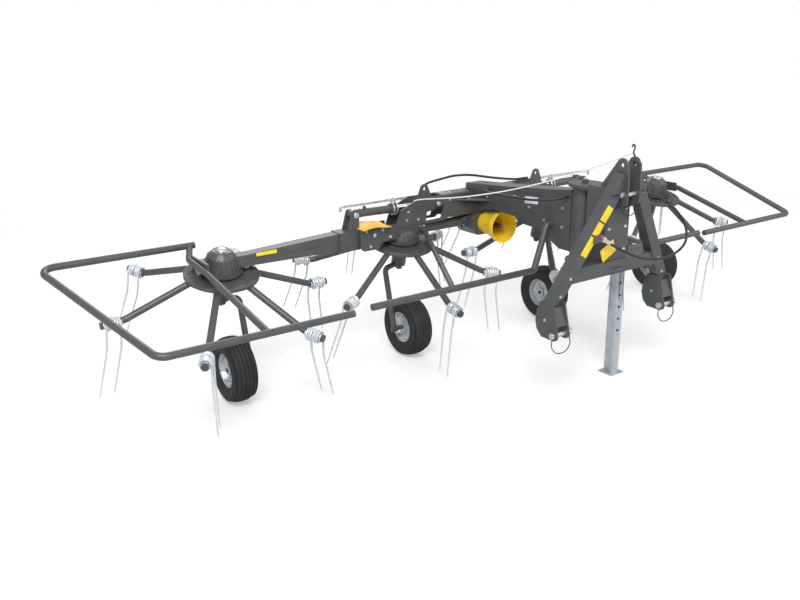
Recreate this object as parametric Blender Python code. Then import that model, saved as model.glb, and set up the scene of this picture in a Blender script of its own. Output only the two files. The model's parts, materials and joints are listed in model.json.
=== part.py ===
"""Four-rotor mounted hay tedder: frame, folding wings, rotors, wheels, hitch and stand.

X runs along the machine's width, -Y is forward towards the tractor, +Z is up.
Lengths are in metres and angles in degrees. Shapes are drawn in the axle frame,
whose Y is 0 on the wheel axles, and the empty "machine" moves them so that the
origin is on the ground under the middle of the whole machine.
"""
import bpy
import bmesh
from math import cos, pi, radians, sin
from mathutils import Matrix, Vector

# ---------------------------------------------------------------- driving sizes
axle_behind_middle = 0.1978
rotor_spacing = 1.30
rotor_y = 0.070
rotor_z = 0.798
rotor_tilt = radians(12.5)
drive_height = 0.075
touch = 0.0003
run_gap = 0.0004
hub_gap = 0.0006

tyre_radius = 0.205
tyre_width = 0.160
rim_radius = 0.104
wheel_sides = 20
axle_radius = 0.015

disc_radius = 0.225
disc_thickness = 0.012
arms_per_rotor = 6
arm_radius = 0.0215
coil_reach = 0.660
coil_drop = 0.1945
coil_radius = 0.037
tine_wire = 0.005
tine_drop = 0.418
tine_splay = 0.085
tine_trail = 0.045
column_radius = 0.040

beam_half_width = 0.065
beam_wall = 0.010
beam_top = 1.088
beam_bottom = 0.930
beam_closed_half = 0.350
plate_foot = 0.915
eye_x = 0.507
eye_z = 1.152

hinge_x = rotor_spacing / 2 + 0.280
hinge_z = 0.900
hinge_pin_radius = 0.014
wing_lug_x = hinge_x + 0.110
wing_lug_z = 1.040
anchor_x = 0.400
anchor_z = 1.030
barrel_radius = 0.0275
lug_inner = barrel_radius + 0.0025
lug_thick = 0.012
rod_radius = 0.020
barrel_length = 0.340
rod_engaged = 0.045
lock_bar_z = (1.087, 1.105)
lock_reach = (0.095, 0.430)

guard_radius = 0.021
outer_guard_front_y = -0.761
outer_guard_front_z = 0.689
outer_guard_rear_y = 0.306
outer_guard_rear_z = 0.937
outer_rotor_x = rotor_spacing * 1.5
outer_guard_x = {
    "front_end": outer_rotor_x - 0.419,
    "brace": outer_rotor_x + 0.097,
    "brace_seat": outer_rotor_x + 0.150,
    "front_corner": outer_rotor_x + 0.678,
    "rear_corner": outer_rotor_x + 0.973,
}
inner_guard_y = -0.783
inner_guard_z = 0.709
inner_guard_x = {"riser": 0.10, "bend": 0.215, "brace": 0.86, "end": outer_rotor_x - 0.523}

neck_half_width = 0.065
swivel_y = -0.975
head_radius = 0.075
head_bottom = 0.800
head_top = 1.245
swivel_pin_radius = 0.020

leg_size = 0.070
leg_top = (0.045, -1.300, 1.360)
leg_knee = (0.490, -1.200, 0.620)
hitch_x = 0.465
hitch_y = -1.276
hitch_z = 0.482
hitch_pin_radius = 0.014
hitch_head_radius = 0.020
clevis_gap = 0.080
clevis_plate = 0.012
top_link_y = -1.300
top_link_hole_z = 1.420
top_link_pin_z = 1.250
top_plate_gap = 0.090
crossbeam_y = -1.215
crossbeam_z = (0.760, 0.845)

stand_x = 0.236
stand_y = -1.070
stand_size = 0.064
stand_wall = 0.004
stand_top = 0.930
stand_foot = 0.115
sleeve_wall = 0.006
sleeve_gap = 0.0006
sleeve_z = (0.745, 0.865)

dock_x = -0.186
hook_place = (0.0510, -1.285, 1.440)
hook_wire = 0.005

pto_y = -0.050
pto_z = 0.860
pto_guard_length = 0.200
pto_guard_front = 0.111
pto_guard_back = 0.074
pto_shaft_radius = 0.0175

hose_radius = 0.008
rope_radius = 0.004
pin_cord_radius = 0.003
cord_gap = 0.0006
wing_hose_points = [
    (-0.435, 0.1138, 1.0888),
    (-0.435, 0.1138, 1.110),
    (-0.433, 0.113, 1.134),
    (-0.398, 0.100, 1.163),
    (-0.290, 0.070, 1.187),
    (-0.193, 0.061, 1.197),
    (-0.050, 0.061, 1.186),
    (0.145, 0.060, 1.147),
    (0.330, 0.090, 1.113),
    (0.430, 0.110, 1.0985),
    (0.480, 0.1138, 1.0967),
    (0.540, 0.1138, 1.0967),
]
neck_hose_points = [
    (-0.0658, -0.170, 1.120),
    (-0.086, -0.170, 1.120),
    (-0.116, -0.176, 1.120),
    (-0.165, -0.300, 1.125),
    (-0.205, -0.450, 1.140),
    (-0.225, -0.600, 1.150),
    (-0.220, -0.740, 1.155),
    (-0.170, -0.850, 1.165),
    (-0.110, -0.904, 1.179),
    (-0.086, -0.905, 1.180),
    (-0.0658, -0.905, 1.180),
]
coupler_start = (-0.186, -1.280, 1.018)
supply_hose_points = [
    (0.1008, -1.160, 1.203),
    (0.170, -1.160, 1.204),
    (0.250, -1.162, 1.205),
    (0.370, -1.170, 1.185),
    (0.500, -1.190, 1.125),
    (0.590, -1.220, 1.045),
    (0.625, -1.260, 0.955),
    (0.575, -1.305, 0.880),
    (0.450, -1.340, 0.838),
    (0.300, -1.355, 0.828),
    (0.150, -1.355, 0.848),
    (0.030, -1.345, 0.890),
    (-0.050, -1.325, 0.932),
    (-0.110, -1.300, 0.968),
]
pull_rope_points = [
    (-0.590, -0.0062, 1.0801),
    (-0.560, -0.080, 1.098),
    (-0.440, -0.325, 1.135),
    (-0.300, -0.600, 1.200),
    (-0.160, -0.870, 1.290),
    (-0.050, -1.085, 1.380),
    (0.0450, -1.272, 1.475),
]

# ---------------------------------------------------------------- worked-out places
drive_y = rotor_y - drive_height * sin(rotor_tilt)
drive_z = rotor_z + drive_height * cos(rotor_tilt)
rotor_x = [(index - 1.5) * rotor_spacing for index in range(4)]
tilt_turn = Matrix.Rotation(rotor_tilt, 4, "X")

# rotor number: spin seen from above (1 is anticlockwise), first arm's angle, side of the wheel leg
rotor_table = {
    1: (-1, 0, 1),
    2: (1, 30, -1),
    3: (-1, 0, 1),
    4: (1, 30, -1),
}

colours = {
    "paint": ((0.060, 0.064, 0.067), 0.45, 0.0),
    "galvanised": ((0.56, 0.60, 0.63), 0.40, 0.9),
    "chrome": ((0.75, 0.77, 0.78), 0.15, 1.0),
    "tyre": ((0.018, 0.018, 0.019), 0.85, 0.0),
    "yellow": ((0.90, 0.60, 0.03), 0.50, 0.0),
    "orange": ((0.93, 0.50, 0.02), 0.50, 0.0),
    "hose": ((0.020, 0.020, 0.021), 0.60, 0.0),
    "rope": ((0.80, 0.80, 0.78), 0.85, 0.0),
    "steel": ((0.20, 0.20, 0.21), 0.35, 0.8),
}


# ---------------------------------------------------------------- shape helpers
def remove_everything():
    for old in list(bpy.data.objects):
        bpy.data.objects.remove(old)


def material(name):
    made = bpy.data.materials.new(name)
    made.use_nodes = True
    shader = made.node_tree.nodes["Principled BSDF"]
    colour, roughness, metallic = colours[name.split(".")[0]]
    shader.inputs["Base Color"].default_value = (*colour, 1.0)
    shader.inputs["Roughness"].default_value = roughness
    shader.inputs["Metallic"].default_value = metallic
    return made


def scratch(bm):
    """A loose object made from a bmesh, with its faces pointing out."""
    bmesh.ops.recalc_face_normals(bm, faces=bm.faces)
    mesh = bpy.data.meshes.new("shape")
    bm.to_mesh(mesh)
    bm.free()
    made = bpy.data.objects.new("shape", mesh)
    bpy.context.scene.collection.objects.link(made)
    return made


def box(low, high):
    bm = bmesh.new()
    bmesh.ops.create_cube(bm, size=1.0)
    for vert in bm.verts:
        vert.co = Vector([low[i] + (vert.co[i] + 0.5) * (high[i] - low[i]) for i in range(3)])
    return scratch(bm)


def block(centre, size):
    low = [centre[i] - size[i] / 2 for i in range(3)]
    high = [centre[i] + size[i] / 2 for i in range(3)]
    return box(low, high)


def prism(outline, axis, low, high):
    """An outline in the two other axes, in X, Y, Z order, pushed along one axis."""
    others = [i for i in range(3) if i != axis]
    bm = bmesh.new()
    ends = []
    for place in (low, high):
        ring = []
        for first, second in outline:
            co = [0.0, 0.0, 0.0]
            co[axis] = place
            co[others[0]] = first
            co[others[1]] = second
            ring.append(bm.verts.new(co))
        ends.append(ring)
    bm.faces.new(ends[0])
    bm.faces.new(ends[1])
    count = len(outline)
    for i in range(count):
        j = (i + 1) % count
        bm.faces.new((ends[0][i], ends[0][j], ends[1][j], ends[1][i]))
    return scratch(bm)


def arc(centre, radius, start, end, steps):
    """Points of an arc in a plane, angles in degrees."""
    points = []
    for i in range(steps + 1):
        angle = radians(start + (end - start) * i / steps)
        points.append((centre[0] + radius * cos(angle), centre[1] + radius * sin(angle)))
    return points


def turned(profile, place, sides, closed=False):
    """A profile of (radius, height) pairs turned round the Z of a place matrix."""
    bm = bmesh.new()
    rings = []
    for radius, height in profile:
        ring = []
        for i in range(sides):
            angle = 2 * pi * i / sides
            ring.append(bm.verts.new(place @ Vector((radius * cos(angle), radius * sin(angle), height))))
        rings.append(ring)
    pairs = list(zip(rings, rings[1:]))
    if closed:
        pairs.append((rings[-1], rings[0]))
    for lower, upper in pairs:
        for i in range(sides):
            j = (i + 1) % sides
            bm.faces.new((lower[i], lower[j], upper[j], upper[i]))
    if not closed:
        bm.faces.new(rings[0])
        bm.faces.new(rings[-1])
    return scratch(bm)


def swept(points, radius, sides=8, turn=0.0):
    """A round bar along a route, with mitred corners and flat ends."""
    route = [Vector(p) for p in points]
    bm = bmesh.new()
    first = (route[1] - route[0]).normalized()
    side = first.orthogonal().normalized()
    side = Matrix.Rotation(turn, 3, first) @ side
    rings = []
    for i, here in enumerate(route):
        before = (here - route[i - 1]).normalized() if i else (route[1] - here).normalized()
        after = (route[i + 1] - here).normalized() if i + 1 < len(route) else before
        if i:
            side = (side - before * side.dot(before)).normalized()
        across = before.cross(side)
        cut_normal = (before + after).normalized()
        ring = []
        for k in range(sides):
            angle = 2 * pi * k / sides
            offset = side * (radius * cos(angle)) + across * (radius * sin(angle))
            slide = -offset.dot(cut_normal) / before.dot(cut_normal)
            ring.append(bm.verts.new(here + offset + before * slide))
        rings.append(ring)
        side = (side - after * side.dot(after)).normalized()
    for lower, upper in zip(rings, rings[1:]):
        for k in range(sides):
            j = (k + 1) % sides
            bm.faces.new((lower[k], lower[j], upper[j], upper[k]))
    bm.faces.new(rings[0])
    bm.faces.new(rings[-1])
    return scratch(bm)


def rounded(points, radius, steps=3):
    """A route whose inner corners are replaced by short arcs of one bend radius."""
    route = [Vector(p) for p in points]
    out = [route[0]]
    for before, here, after in zip(route, route[1:], route[2:]):
        back = (before - here).normalized()
        ahead = (after - here).normalized()
        half = back.angle(ahead) / 2
        reach = radius * cos(half) / sin(half)
        start = here + back * reach
        end = here + ahead * reach
        centre = here + (back + ahead).normalized() * (radius / sin(half))
        for i in range(steps + 1):
            mix = start.lerp(end, i / steps) - centre
            out.append(centre + mix.normalized() * radius)
    out.append(route[-1])
    return out


def bar(start, end, radius, sides=8):
    return swept([start, end], radius, sides)


def beam_between(start, end, width_x, depth):
    """A square-section bar from start to end, its section kept level with X."""
    a, b = Vector(start), Vector(end)
    along = (b - a).normalized()
    across = (Vector((1, 0, 0)) - along * along.x).normalized()
    normal = along.cross(across)
    bm = bmesh.new()
    rings = []
    for here in (a, b):
        ring = []
        for sx, sn in ((-1, -1), (1, -1), (1, 1), (-1, 1)):
            ring.append(bm.verts.new(here + across * (sx * width_x / 2) + normal * (sn * depth / 2)))
        rings.append(ring)
    for i in range(4):
        j = (i + 1) % 4
        bm.faces.new((rings[0][i], rings[0][j], rings[1][j], rings[1][i]))
    bm.faces.new(rings[0])
    bm.faces.new(rings[1])
    return scratch(bm)


def combine(base, other, operation):
    """Bakes one exact Boolean of two loose objects and removes the second."""
    modifier = base.modifiers.new("combine", "BOOLEAN")
    modifier.operation = operation
    modifier.solver = "EXACT"
    modifier.object = other
    bpy.context.view_layer.update()
    graph = bpy.context.evaluated_depsgraph_get()
    mesh = bpy.data.meshes.new_from_object(base.evaluated_get(graph))
    base.modifiers.clear()
    base.data = mesh
    bpy.data.objects.remove(other)
    return base


def fuse(*parts):
    whole = parts[0]
    for other in parts[1:]:
        whole = combine(whole, other, "UNION")
    return whole


def cut(whole, *tools):
    for tool in tools:
        whole = combine(whole, tool, "DIFFERENCE")
    return whole


def joined(parts):
    """Several shapes that don't touch, as one loose object."""
    bm = bmesh.new()
    for part in parts:
        bm.from_mesh(part.data)
        bpy.data.objects.remove(part)
    return scratch(bm)


def copy_turned(part, turn):
    bm = bmesh.new()
    bm.from_mesh(part.data)
    bmesh.ops.transform(bm, matrix=turn, verts=bm.verts)
    return scratch(bm)


# ---------------------------------------------------------------- joint empties
def empty(name, place, parent=None):
    made = bpy.data.objects.new(name, None)
    bpy.context.scene.collection.objects.link(made)
    made.empty_display_size = 0.05
    made.parent = parent
    made.location = Vector(place) - (axle_place(parent) if parent else Vector())
    made["place"] = list(place)
    return made


def axle_place(pivot):
    return Vector(pivot["place"]) if pivot and "place" in pivot else Vector()


def finish(name, part, pivot, colour, smooth=35):
    """Names a piece, gives it its material and hangs it on its joint's empty."""
    part.name = name
    part.data.name = name
    part.data.materials.clear()
    part.data.materials.append(material(f"{colour}.{name}"))
    part.data.shade_smooth()
    part.data.set_sharp_from_angle(angle=radians(smooth))
    part.parent = pivot
    part.matrix_parent_inverse = Matrix.Translation(-axle_place(pivot))
    return part


def rotor_place(x, height=0.0):
    """The tilted frame of a rotor's axis, moved along the axis by a height."""
    return Matrix.Translation((x, rotor_y, rotor_z)) @ tilt_turn @ Matrix.Translation((0, 0, height))


# ---------------------------------------------------------------- rotors
def tine_arm():
    """One arm with its sprung tines, drawn along +X of the rotor's own frame."""
    root = (disc_radius - 0.075, 0, -0.014)
    bend = (coil_reach - 0.070, 0, -coil_drop + 0.012)
    tip = (coil_reach + 0.062, 0, -coil_drop)
    tube = swept([root, bend, tip], arm_radius, 6)
    coil_start = (coil_reach - 0.040, 0, -coil_drop)
    coil_end = (coil_reach + 0.040, 0, -coil_drop)
    return fuse(tube, bar(coil_start, coil_end, coil_radius, 8))


def tine_legs(trail):
    """The two wire legs of a tine pair, hanging from the coil and trailing the motion."""
    legs = []
    for reach in (coil_reach - 0.030, coil_reach + 0.030):
        top = (reach, trail * (coil_radius - 0.008), -coil_drop)
        knee = (reach + 0.012, trail * (coil_radius + 0.004), -coil_drop - tine_drop * 0.33)
        tip = (reach + tine_splay, trail * (coil_radius + tine_trail), -coil_drop - tine_drop)
        legs.append(swept([top, knee, tip], tine_wire, 4))
    return legs


def make_rotor(number, spin, first_angle, pivot):
    x = rotor_x[number - 1]
    half = disc_thickness / 2
    disc_profile = [
        (column_radius + hub_gap, -0.050),
        (0.070, -0.050),
        (0.078, -half),
        (disc_radius, -half),
        (disc_radius, half),
        (column_radius + hub_gap, half),
    ]
    disc = turned(disc_profile, Matrix(), 24, closed=True)
    arm = tine_arm()
    for leg in tine_legs(-spin):
        arm = fuse(arm, leg)
    arms = []
    for k in range(arms_per_rotor):
        turn = Matrix.Rotation(radians(first_angle + k * 360 / arms_per_rotor), 4, "Z")
        arms.append(copy_turned(arm, turn))
    bpy.data.objects.remove(arm)
    whole = fuse(disc, joined(arms))
    bm = bmesh.new()
    bm.from_mesh(whole.data)
    bmesh.ops.transform(bm, matrix=rotor_place(x), verts=bm.verts)
    bpy.data.objects.remove(whole)
    return finish(f"rotor_{number}", scratch(bm), pivot, "paint")


# ---------------------------------------------------------------- wheels and their legs
def make_wheel(number, pivot):
    x = rotor_x[number - 1]
    across = Matrix.Translation((x, 0, tyre_radius)) @ Matrix.Rotation(pi / 2, 4, "Y")
    half = tyre_width / 2
    tread = [
        (rim_radius + touch * 2, half * 0.70),
        (rim_radius + 0.022, half * 0.95),
        (tyre_radius * 0.80, half),
        (tyre_radius * 0.945, half * 0.84),
        (tyre_radius, half * 0.36),
    ]
    profile = tread + [(radius, -height) for radius, height in reversed(tread)]
    finish(f"tyre_{number}", turned(profile, across, wheel_sides, closed=True), pivot, "tyre")
    bore = axle_radius + run_gap * 2
    side = [
        (rim_radius, half * 0.70),
        (rim_radius - 0.008, half * 0.70),
        (0.036, 0.006),
        (0.031, 0.045),
        (bore, 0.045),
    ]
    profile = side + [(radius, -height) for radius, height in reversed(side)]
    finish(f"rim_{number}", turned(profile, across, wheel_sides, closed=True), pivot, "galvanised")


def make_wheel_leg(number, side, pivot, name):
    """The fixed rotor axle with the bent tube that carries the wheel's stub axle."""
    x = rotor_x[number - 1]
    top = drive_height - 0.057
    profile = [(0.050, -0.170), (0.050, -0.058), (column_radius, -0.056), (column_radius, top - touch)]
    column = turned(profile, rotor_place(x), 24)
    foot = rotor_place(x) @ Vector((0, 0, -0.160))
    out = x + side * (tyre_width / 2 + 0.032)
    route = rounded(
        [
            (x, foot.y, foot.z),
            (out, foot.y, foot.z - 0.030),
            (out, 0, tyre_radius - 0.018),
        ],
        0.035,
        3,
    )
    leg = swept(route, 0.019, 8)
    axle = bar((out + side * 0.026, 0, tyre_radius), (x - side * 0.052, 0, tyre_radius), axle_radius, 16)
    return finish(name, fuse(column, leg, axle), pivot, "paint")


# ---------------------------------------------------------------- rotor gear housings
def housing_shape(x, top_height):
    base = drive_height - 0.057
    profile = [
        (0.125, base),
        (0.125, base + 0.016),
        (0.104, base + 0.018),
        (0.086, top_height * 0.80),
        (0.060, top_height),
    ]
    return turned(profile, rotor_place(x), 24)


def make_outer_housing(number, side, pivot, name):
    x = rotor_x[number - 1]
    dome = housing_shape(x, 0.150)
    inward = -side
    socket = box(
        (min(x, x + inward * 0.1497), drive_y - 0.050, 0.832),
        (max(x, x + inward * 0.1497), drive_y + 0.050, 0.903),
    )
    plate_outer = outer_guard_x["brace_seat"] - guard_radius + 0.008
    boss = spanning((side * (plate_outer - 0.005), drive_y - 0.035, 0.838), (x, drive_y + 0.035, 0.885))
    plate = spanning((side * plate_outer, -0.060, 0.835), (side * (plate_outer - 0.014), 0.185, 0.905))
    groove = swept(guard_brace_route(side), guard_radius + touch, 8, 0.4)
    return finish(name, cut(fuse(dome, socket, boss, plate), groove), pivot, "paint")


def sorted_low(a, b):
    return tuple(min(a[i], b[i]) for i in range(3))


def sorted_high(a, b):
    return tuple(max(a[i], b[i]) for i in range(3))


def spanning(a, b):
    return box(sorted_low(a, b), sorted_high(a, b))


def make_inner_housing(number, side, pivot, name):
    """The inner housing with its saddle, its drive sockets and the fixed hinge ears."""
    x = rotor_x[number - 1]
    dome = housing_shape(x, 0.105)
    saddle = spanning((x - 0.090, drive_y - 0.068, 0.865), (x + 0.090, drive_y + 0.068, plate_foot - touch))
    inner_socket = spanning((x, drive_y - 0.050, 0.834), (side * 0.510, drive_y + 0.050, 0.912))
    hinge_end = hinge_x - 0.095
    outer_socket = spanning((x, drive_y - 0.0545, 0.834), (side * hinge_end, drive_y + 0.0545, 0.912))
    whole = fuse(dome, saddle, inner_socket, outer_socket)
    ear_outline = [
        (side * (hinge_end - 0.090), hinge_z + 0.045),
        (side * (hinge_x + 0.090), hinge_z + 0.045),
        (side * (hinge_x + 0.100), hinge_z + 0.030),
        (side * (hinge_x + 0.100), hinge_z - 0.075),
        (side * (hinge_x + 0.075), hinge_z - 0.100),
        (side * (hinge_x - 0.040), hinge_z - 0.100),
        (side * (hinge_x - 0.060), hinge_z - 0.060),
        (side * (hinge_end - 0.090), hinge_z - 0.045),
    ]
    for hand in (-1, 1):
        low = drive_y + hand * 0.0655
        high = drive_y + hand * 0.0835
        ear = prism(ear_outline, 1, min(low, high), max(low, high))
        hole = bar(
            (side * hinge_x, drive_y + hand * 0.05, hinge_z),
            (side * hinge_x, drive_y + hand * 0.10, hinge_z),
            hinge_pin_radius + run_gap * 2,
            24,
        )
        web = spanning(
            (side * (hinge_end - 0.010), drive_y + hand * 0.050, 0.860),
            (side * (hinge_end - 0.085), drive_y + hand * 0.070, 0.910),
        )
        whole = fuse(whole, cut(ear, hole), web)
    return finish(name, whole, pivot, "paint")


# ---------------------------------------------------------------- bridge and neck
def make_bridge(pivot):
    """Two cut-out side plates under a top plate, open below for the fold cylinders."""
    outline = [
        (-0.745, plate_foot),
        (-0.700, 1.026),
        (-0.561, beam_top),
        (0.561, beam_top),
        (0.700, 1.026),
        (0.745, plate_foot),
        (0.330, plate_foot),
        (0.310, beam_bottom),
        (-0.310, beam_bottom),
        (-0.330, plate_foot),
    ]
    whole = None
    for hand in (-1, 1):
        face = drive_y + hand * beam_half_width
        inner = drive_y + hand * (beam_half_width - beam_wall)
        plate = prism(outline, 1, min(face, inner), max(face, inner))
        for side in (-1, 1):
            window = [
                (side * 0.487, 0.991),
                (side * 0.430, 0.997),
                (side * 0.411, 1.015),
                (side * 0.333, 1.022),
                (side * 0.368, 0.934),
                (side * 0.496, 0.930),
            ]
            plate = cut(plate, prism(window, 1, min(face, inner) - 0.01, max(face, inner) + 0.01))
        whole = plate if whole is None else joined([whole, plate])
    top = spanning(
        (-beam_closed_half, drive_y - beam_half_width + 0.002, beam_top - 0.012),
        (beam_closed_half, drive_y + beam_half_width - 0.002, beam_top - 0.002),
    )
    whole = fuse(whole, top)
    for x in (-0.300, 0.300):
        wall = spanning(
            (x - 0.006, drive_y - beam_half_width + 0.004, beam_bottom + 0.005),
            (x + 0.006, drive_y + beam_half_width - 0.004, beam_top - 0.005),
        )
        whole = fuse(whole, wall)
    for side in (-1, 1):
        for hand in (-1, 1):
            boss = bar(
                (side * anchor_x, drive_y + hand * (beam_half_width - 0.005), anchor_z + 0.010),
                (side * anchor_x, drive_y + hand * (beam_half_width + 0.010), anchor_z + 0.010),
                0.020,
                12,
            )
            whole = fuse(whole, boss)
    for side in (-1, 1):
        whole = fuse(whole, lifting_eye(side * eye_x))
    return finish("bridge_beam", whole, pivot, "paint")


def lifting_eye(x):
    """A rounded plate with a hole, standing on the bridge's front plate."""
    base = beam_top - 0.030
    outline = [(x - 0.060, base), (x + 0.060, base), (x + 0.055, beam_top + 0.015)]
    outline += arc((x, eye_z), 0.032, 10, 170, 6) + [(x - 0.055, beam_top + 0.015)]
    eye = prism(outline, 1, drive_y - beam_half_width, drive_y - beam_half_width + beam_wall)
    hole = bar((x, drive_y - 0.09, eye_z), (x, drive_y, eye_z), 0.012, 12)
    return cut(eye, hole)


def make_neck(pivot):
    """The forward neck that rises over the drive cone and ends in the swivel head."""
    front = drive_y - beam_half_width
    outline = [
        (swivel_y + 0.045, head_bottom + 0.040),
        (swivel_y + 0.045, head_top - 0.020),
        (-0.760, 1.205),
        (-0.300, 1.160),
        (drive_y + 0.045, 1.130),
        (drive_y + 0.045, beam_top + touch),
        (front - touch, beam_top + touch),
        (front - touch, 0.990),
        (-0.420, 0.975),
        (-0.640, 0.940),
        (-0.840, head_bottom + 0.040),
    ]
    arm = prism(outline, 0, -neck_half_width, neck_half_width)
    upright = Matrix.Translation((0, swivel_y, 0))
    head = turned([(head_radius, head_bottom), (head_radius, head_top)], upright, 24)
    bore_profile = [(swivel_pin_radius + run_gap * 2, 0.70), (swivel_pin_radius + run_gap * 2, 1.35)]
    bore = turned(bore_profile, upright, 32)
    return finish("neck", cut(fuse(arm, head), bore), pivot, "paint")


def make_centre_drive(pivot):
    outline = [
        (-0.130, 0.835),
        (-0.130, 0.910),
        (-0.080, beam_bottom - touch),
        (0.080, beam_bottom - touch),
        (0.130, 0.910),
        (0.130, 0.835),
        (0.070, 0.775),
        (-0.070, 0.775),
    ]
    case = prism(outline, 1, pto_y, 0.155)
    nose = bar((0, pto_y + 0.01, pto_z), (0, pto_y - 0.020, pto_z), 0.045, 16)
    seat = bar((0, pto_y + 0.05, pto_z), (0, pto_y - 0.05, pto_z), pto_shaft_radius + run_gap * 2, 24)
    finish("centre_gearbox", cut(fuse(case, nose), seat), pivot, "paint")
    for side, name in ((-1, "left"), (1, "right")):
        near = (side * (0.130 + touch), drive_y, drive_z)
        far = (side * (0.510 - touch), drive_y, drive_z)
        tube = bar(near, far, 0.036, 16)
        flanges = []
        for a, b in ((0.130 + touch, 0.146), (0.494, 0.510 - touch)):
            flanges.append(bar((side * a, drive_y, drive_z), (side * b, drive_y, drive_z), 0.052, 16))
        finish(f"drive_tube_{name}", fuse(tube, *flanges), pivot, "paint")


def make_pto_guard(pivot):
    """The open yellow cone round the input shaft."""
    back = pto_y - touch
    front = pto_y - pto_guard_length
    wall = 0.004
    along = Matrix.Translation((0, 0, pto_z)) @ Matrix.Rotation(pi / 2, 4, "X")
    profile = [
        (0.0465, -back),
        (pto_guard_back, -back),
        (pto_guard_back + 0.010, -back + 0.085),
        (pto_guard_front - 0.007, -front - 0.045),
        (pto_guard_front, -front - 0.034),
        (pto_guard_front, -front),
        (pto_guard_front - wall, -front),
        (pto_guard_front - wall - 0.008, -front - 0.045),
        (pto_guard_back + 0.010 - wall, -back + 0.085),
        (pto_guard_back - wall, -back + wall),
        (0.0465, -back + wall),
    ]
    return finish("pto_guard", turned(profile, along, 24, closed=True), pivot, "yellow")


def make_pto_shaft(pivot):
    shaft = bar((0, pto_y + 0.030, pto_z), (0, pto_y - 0.175, pto_z), pto_shaft_radius, 16)
    collar = bar((0, pto_y - 0.030, pto_z), (0, pto_y - 0.070, pto_z), 0.027, 16)
    return finish("pto_shaft", fuse(shaft, collar), pivot, "steel")


# ---------------------------------------------------------------- guards
def make_inner_guard(side, pivot, name):
    xs = inner_guard_x
    touch_x = neck_half_width + touch
    front = rounded(
        [
            (side * xs["end"], inner_guard_y, inner_guard_z),
            (side * xs["bend"], inner_guard_y, inner_guard_z),
            (side * xs["riser"], inner_guard_y + 0.020, 0.985),
            (side * touch_x, inner_guard_y + 0.020, 0.985),
        ],
        0.026,
        2,
    )
    brace = [
        (side * xs["brace"], inner_guard_y, inner_guard_z),
        (side * 0.530, -0.045, drive_z),
        (side * 0.530, drive_y - 0.050 - touch, drive_z),
    ]
    whole = fuse(swept(front, guard_radius, 8), swept(brace, 0.018, 8, 0.3))
    return finish(name, whole, pivot, "paint")


def guard_brace_route(side):
    """The outer guard's middle tube, which lies in the groove of the housing's plate."""
    xs = outer_guard_x
    return [
        (side * xs["brace"], outer_guard_front_y, outer_guard_front_z),
        (side * xs["brace_seat"], -0.070, 0.862),
        (side * xs["brace_seat"], 0.190, 0.880),
        (side * xs["brace"], outer_guard_rear_y, outer_guard_rear_z),
    ]


def make_outer_guard(side, pivot, name):
    xs = outer_guard_x
    front_y, front_z = outer_guard_front_y, outer_guard_front_z
    rear_y, rear_z = outer_guard_rear_y, outer_guard_rear_z
    hoop = rounded(
        [
            (side * xs["front_end"], front_y, front_z),
            (side * xs["front_corner"], front_y, front_z),
            (side * xs["rear_corner"], rear_y, rear_z),
            (side * (xs["brace"] - 0.030), rear_y, rear_z),
        ],
        0.070,
        3,
    )
    brace = guard_brace_route(side)
    whole = fuse(swept(hoop, guard_radius, 8), swept(brace, guard_radius, 8, 0.4))
    return finish(name, whole, pivot, "paint")


# ---------------------------------------------------------------- wings
def make_boom(side, pivot, name):
    x = side * rotor_spacing * 1.5
    housing_end = abs(x) - 0.150
    block_start = hinge_x + 0.230
    tube_outline = [
        (side * housing_end, 0.832),
        (side * housing_end, 0.903),
        (side * block_start, 0.936),
        (side * block_start, 0.822),
    ]
    tube = prism(tube_outline, 1, drive_y - 0.045, drive_y + 0.045)
    head = spanning(
        (side * (block_start + 0.01), drive_y - 0.055, 0.812),
        (side * (hinge_x + 0.060), drive_y + 0.055, 0.940),
    )
    whole = fuse(tube, head)
    for hand in (-1, 1):
        outline = [(side * (hinge_x + 0.080), hinge_z - 0.038)]
        outline += arc((side * hinge_x, hinge_z), 0.038, -90, -90 - side * 180, 8)
        outline += [(side * (hinge_x + 0.080), hinge_z + 0.038)]
        low, high = sorted((drive_y + hand * 0.040, drive_y + hand * 0.060))
        ear = prism(outline, 1, low, high)
        stub = bar(
            (side * hinge_x, drive_y + hand * 0.042, hinge_z),
            (side * hinge_x, drive_y + hand * 0.095, hinge_z),
            hinge_pin_radius,
            16,
        )
        lug_outline = [(side * (wing_lug_x + 0.060), 0.930), (side * (wing_lug_x - 0.028), 0.930)]
        first, last = (0, 180) if side < 0 else (180, 0)
        lug_outline += arc((side * wing_lug_x, wing_lug_z), 0.028, first, last, 8)
        low, high = sorted((drive_y + hand * lug_inner, drive_y + hand * (lug_inner + lug_thick)))
        lug = prism(lug_outline, 1, low, high)
        whole = fuse(whole, ear, stub, lug)
    pin = bar(
        (side * wing_lug_x, drive_y - 0.050, wing_lug_z),
        (side * wing_lug_x, drive_y + 0.050, wing_lug_z),
        0.012,
        16,
    )
    whole = fuse(whole, pin)
    shaft_outer = (side * (hinge_x + 0.065), drive_y, drive_z)
    shaft_inner = (side * (hinge_x - 0.040), drive_y, drive_z)
    shaft = bar(shaft_outer, shaft_inner, 0.030, 12)
    whole = fuse(whole, shaft)
    return finish(name, whole, pivot, "paint")


def make_cover(side, pivot, name):
    """The bent sheet over the fold joint, seated on the boom's head."""
    outline = [
        (side * (hinge_x + 0.078), 0.9403),
        (side * (hinge_x + 0.078), 0.9443),
        (side * (hinge_x - 0.030), 0.9573),
        (side * (hinge_x - 0.060), 0.9523),
        (side * (hinge_x - 0.060), 0.9483),
        (side * (hinge_x - 0.030), 0.9533),
        (side * (hinge_x + 0.055), 0.9447),
        (side * (hinge_x + 0.062), 0.9403),
    ]
    return finish(name, prism(outline, 1, drive_y - 0.060, drive_y + 0.060), pivot, "orange")


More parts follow.
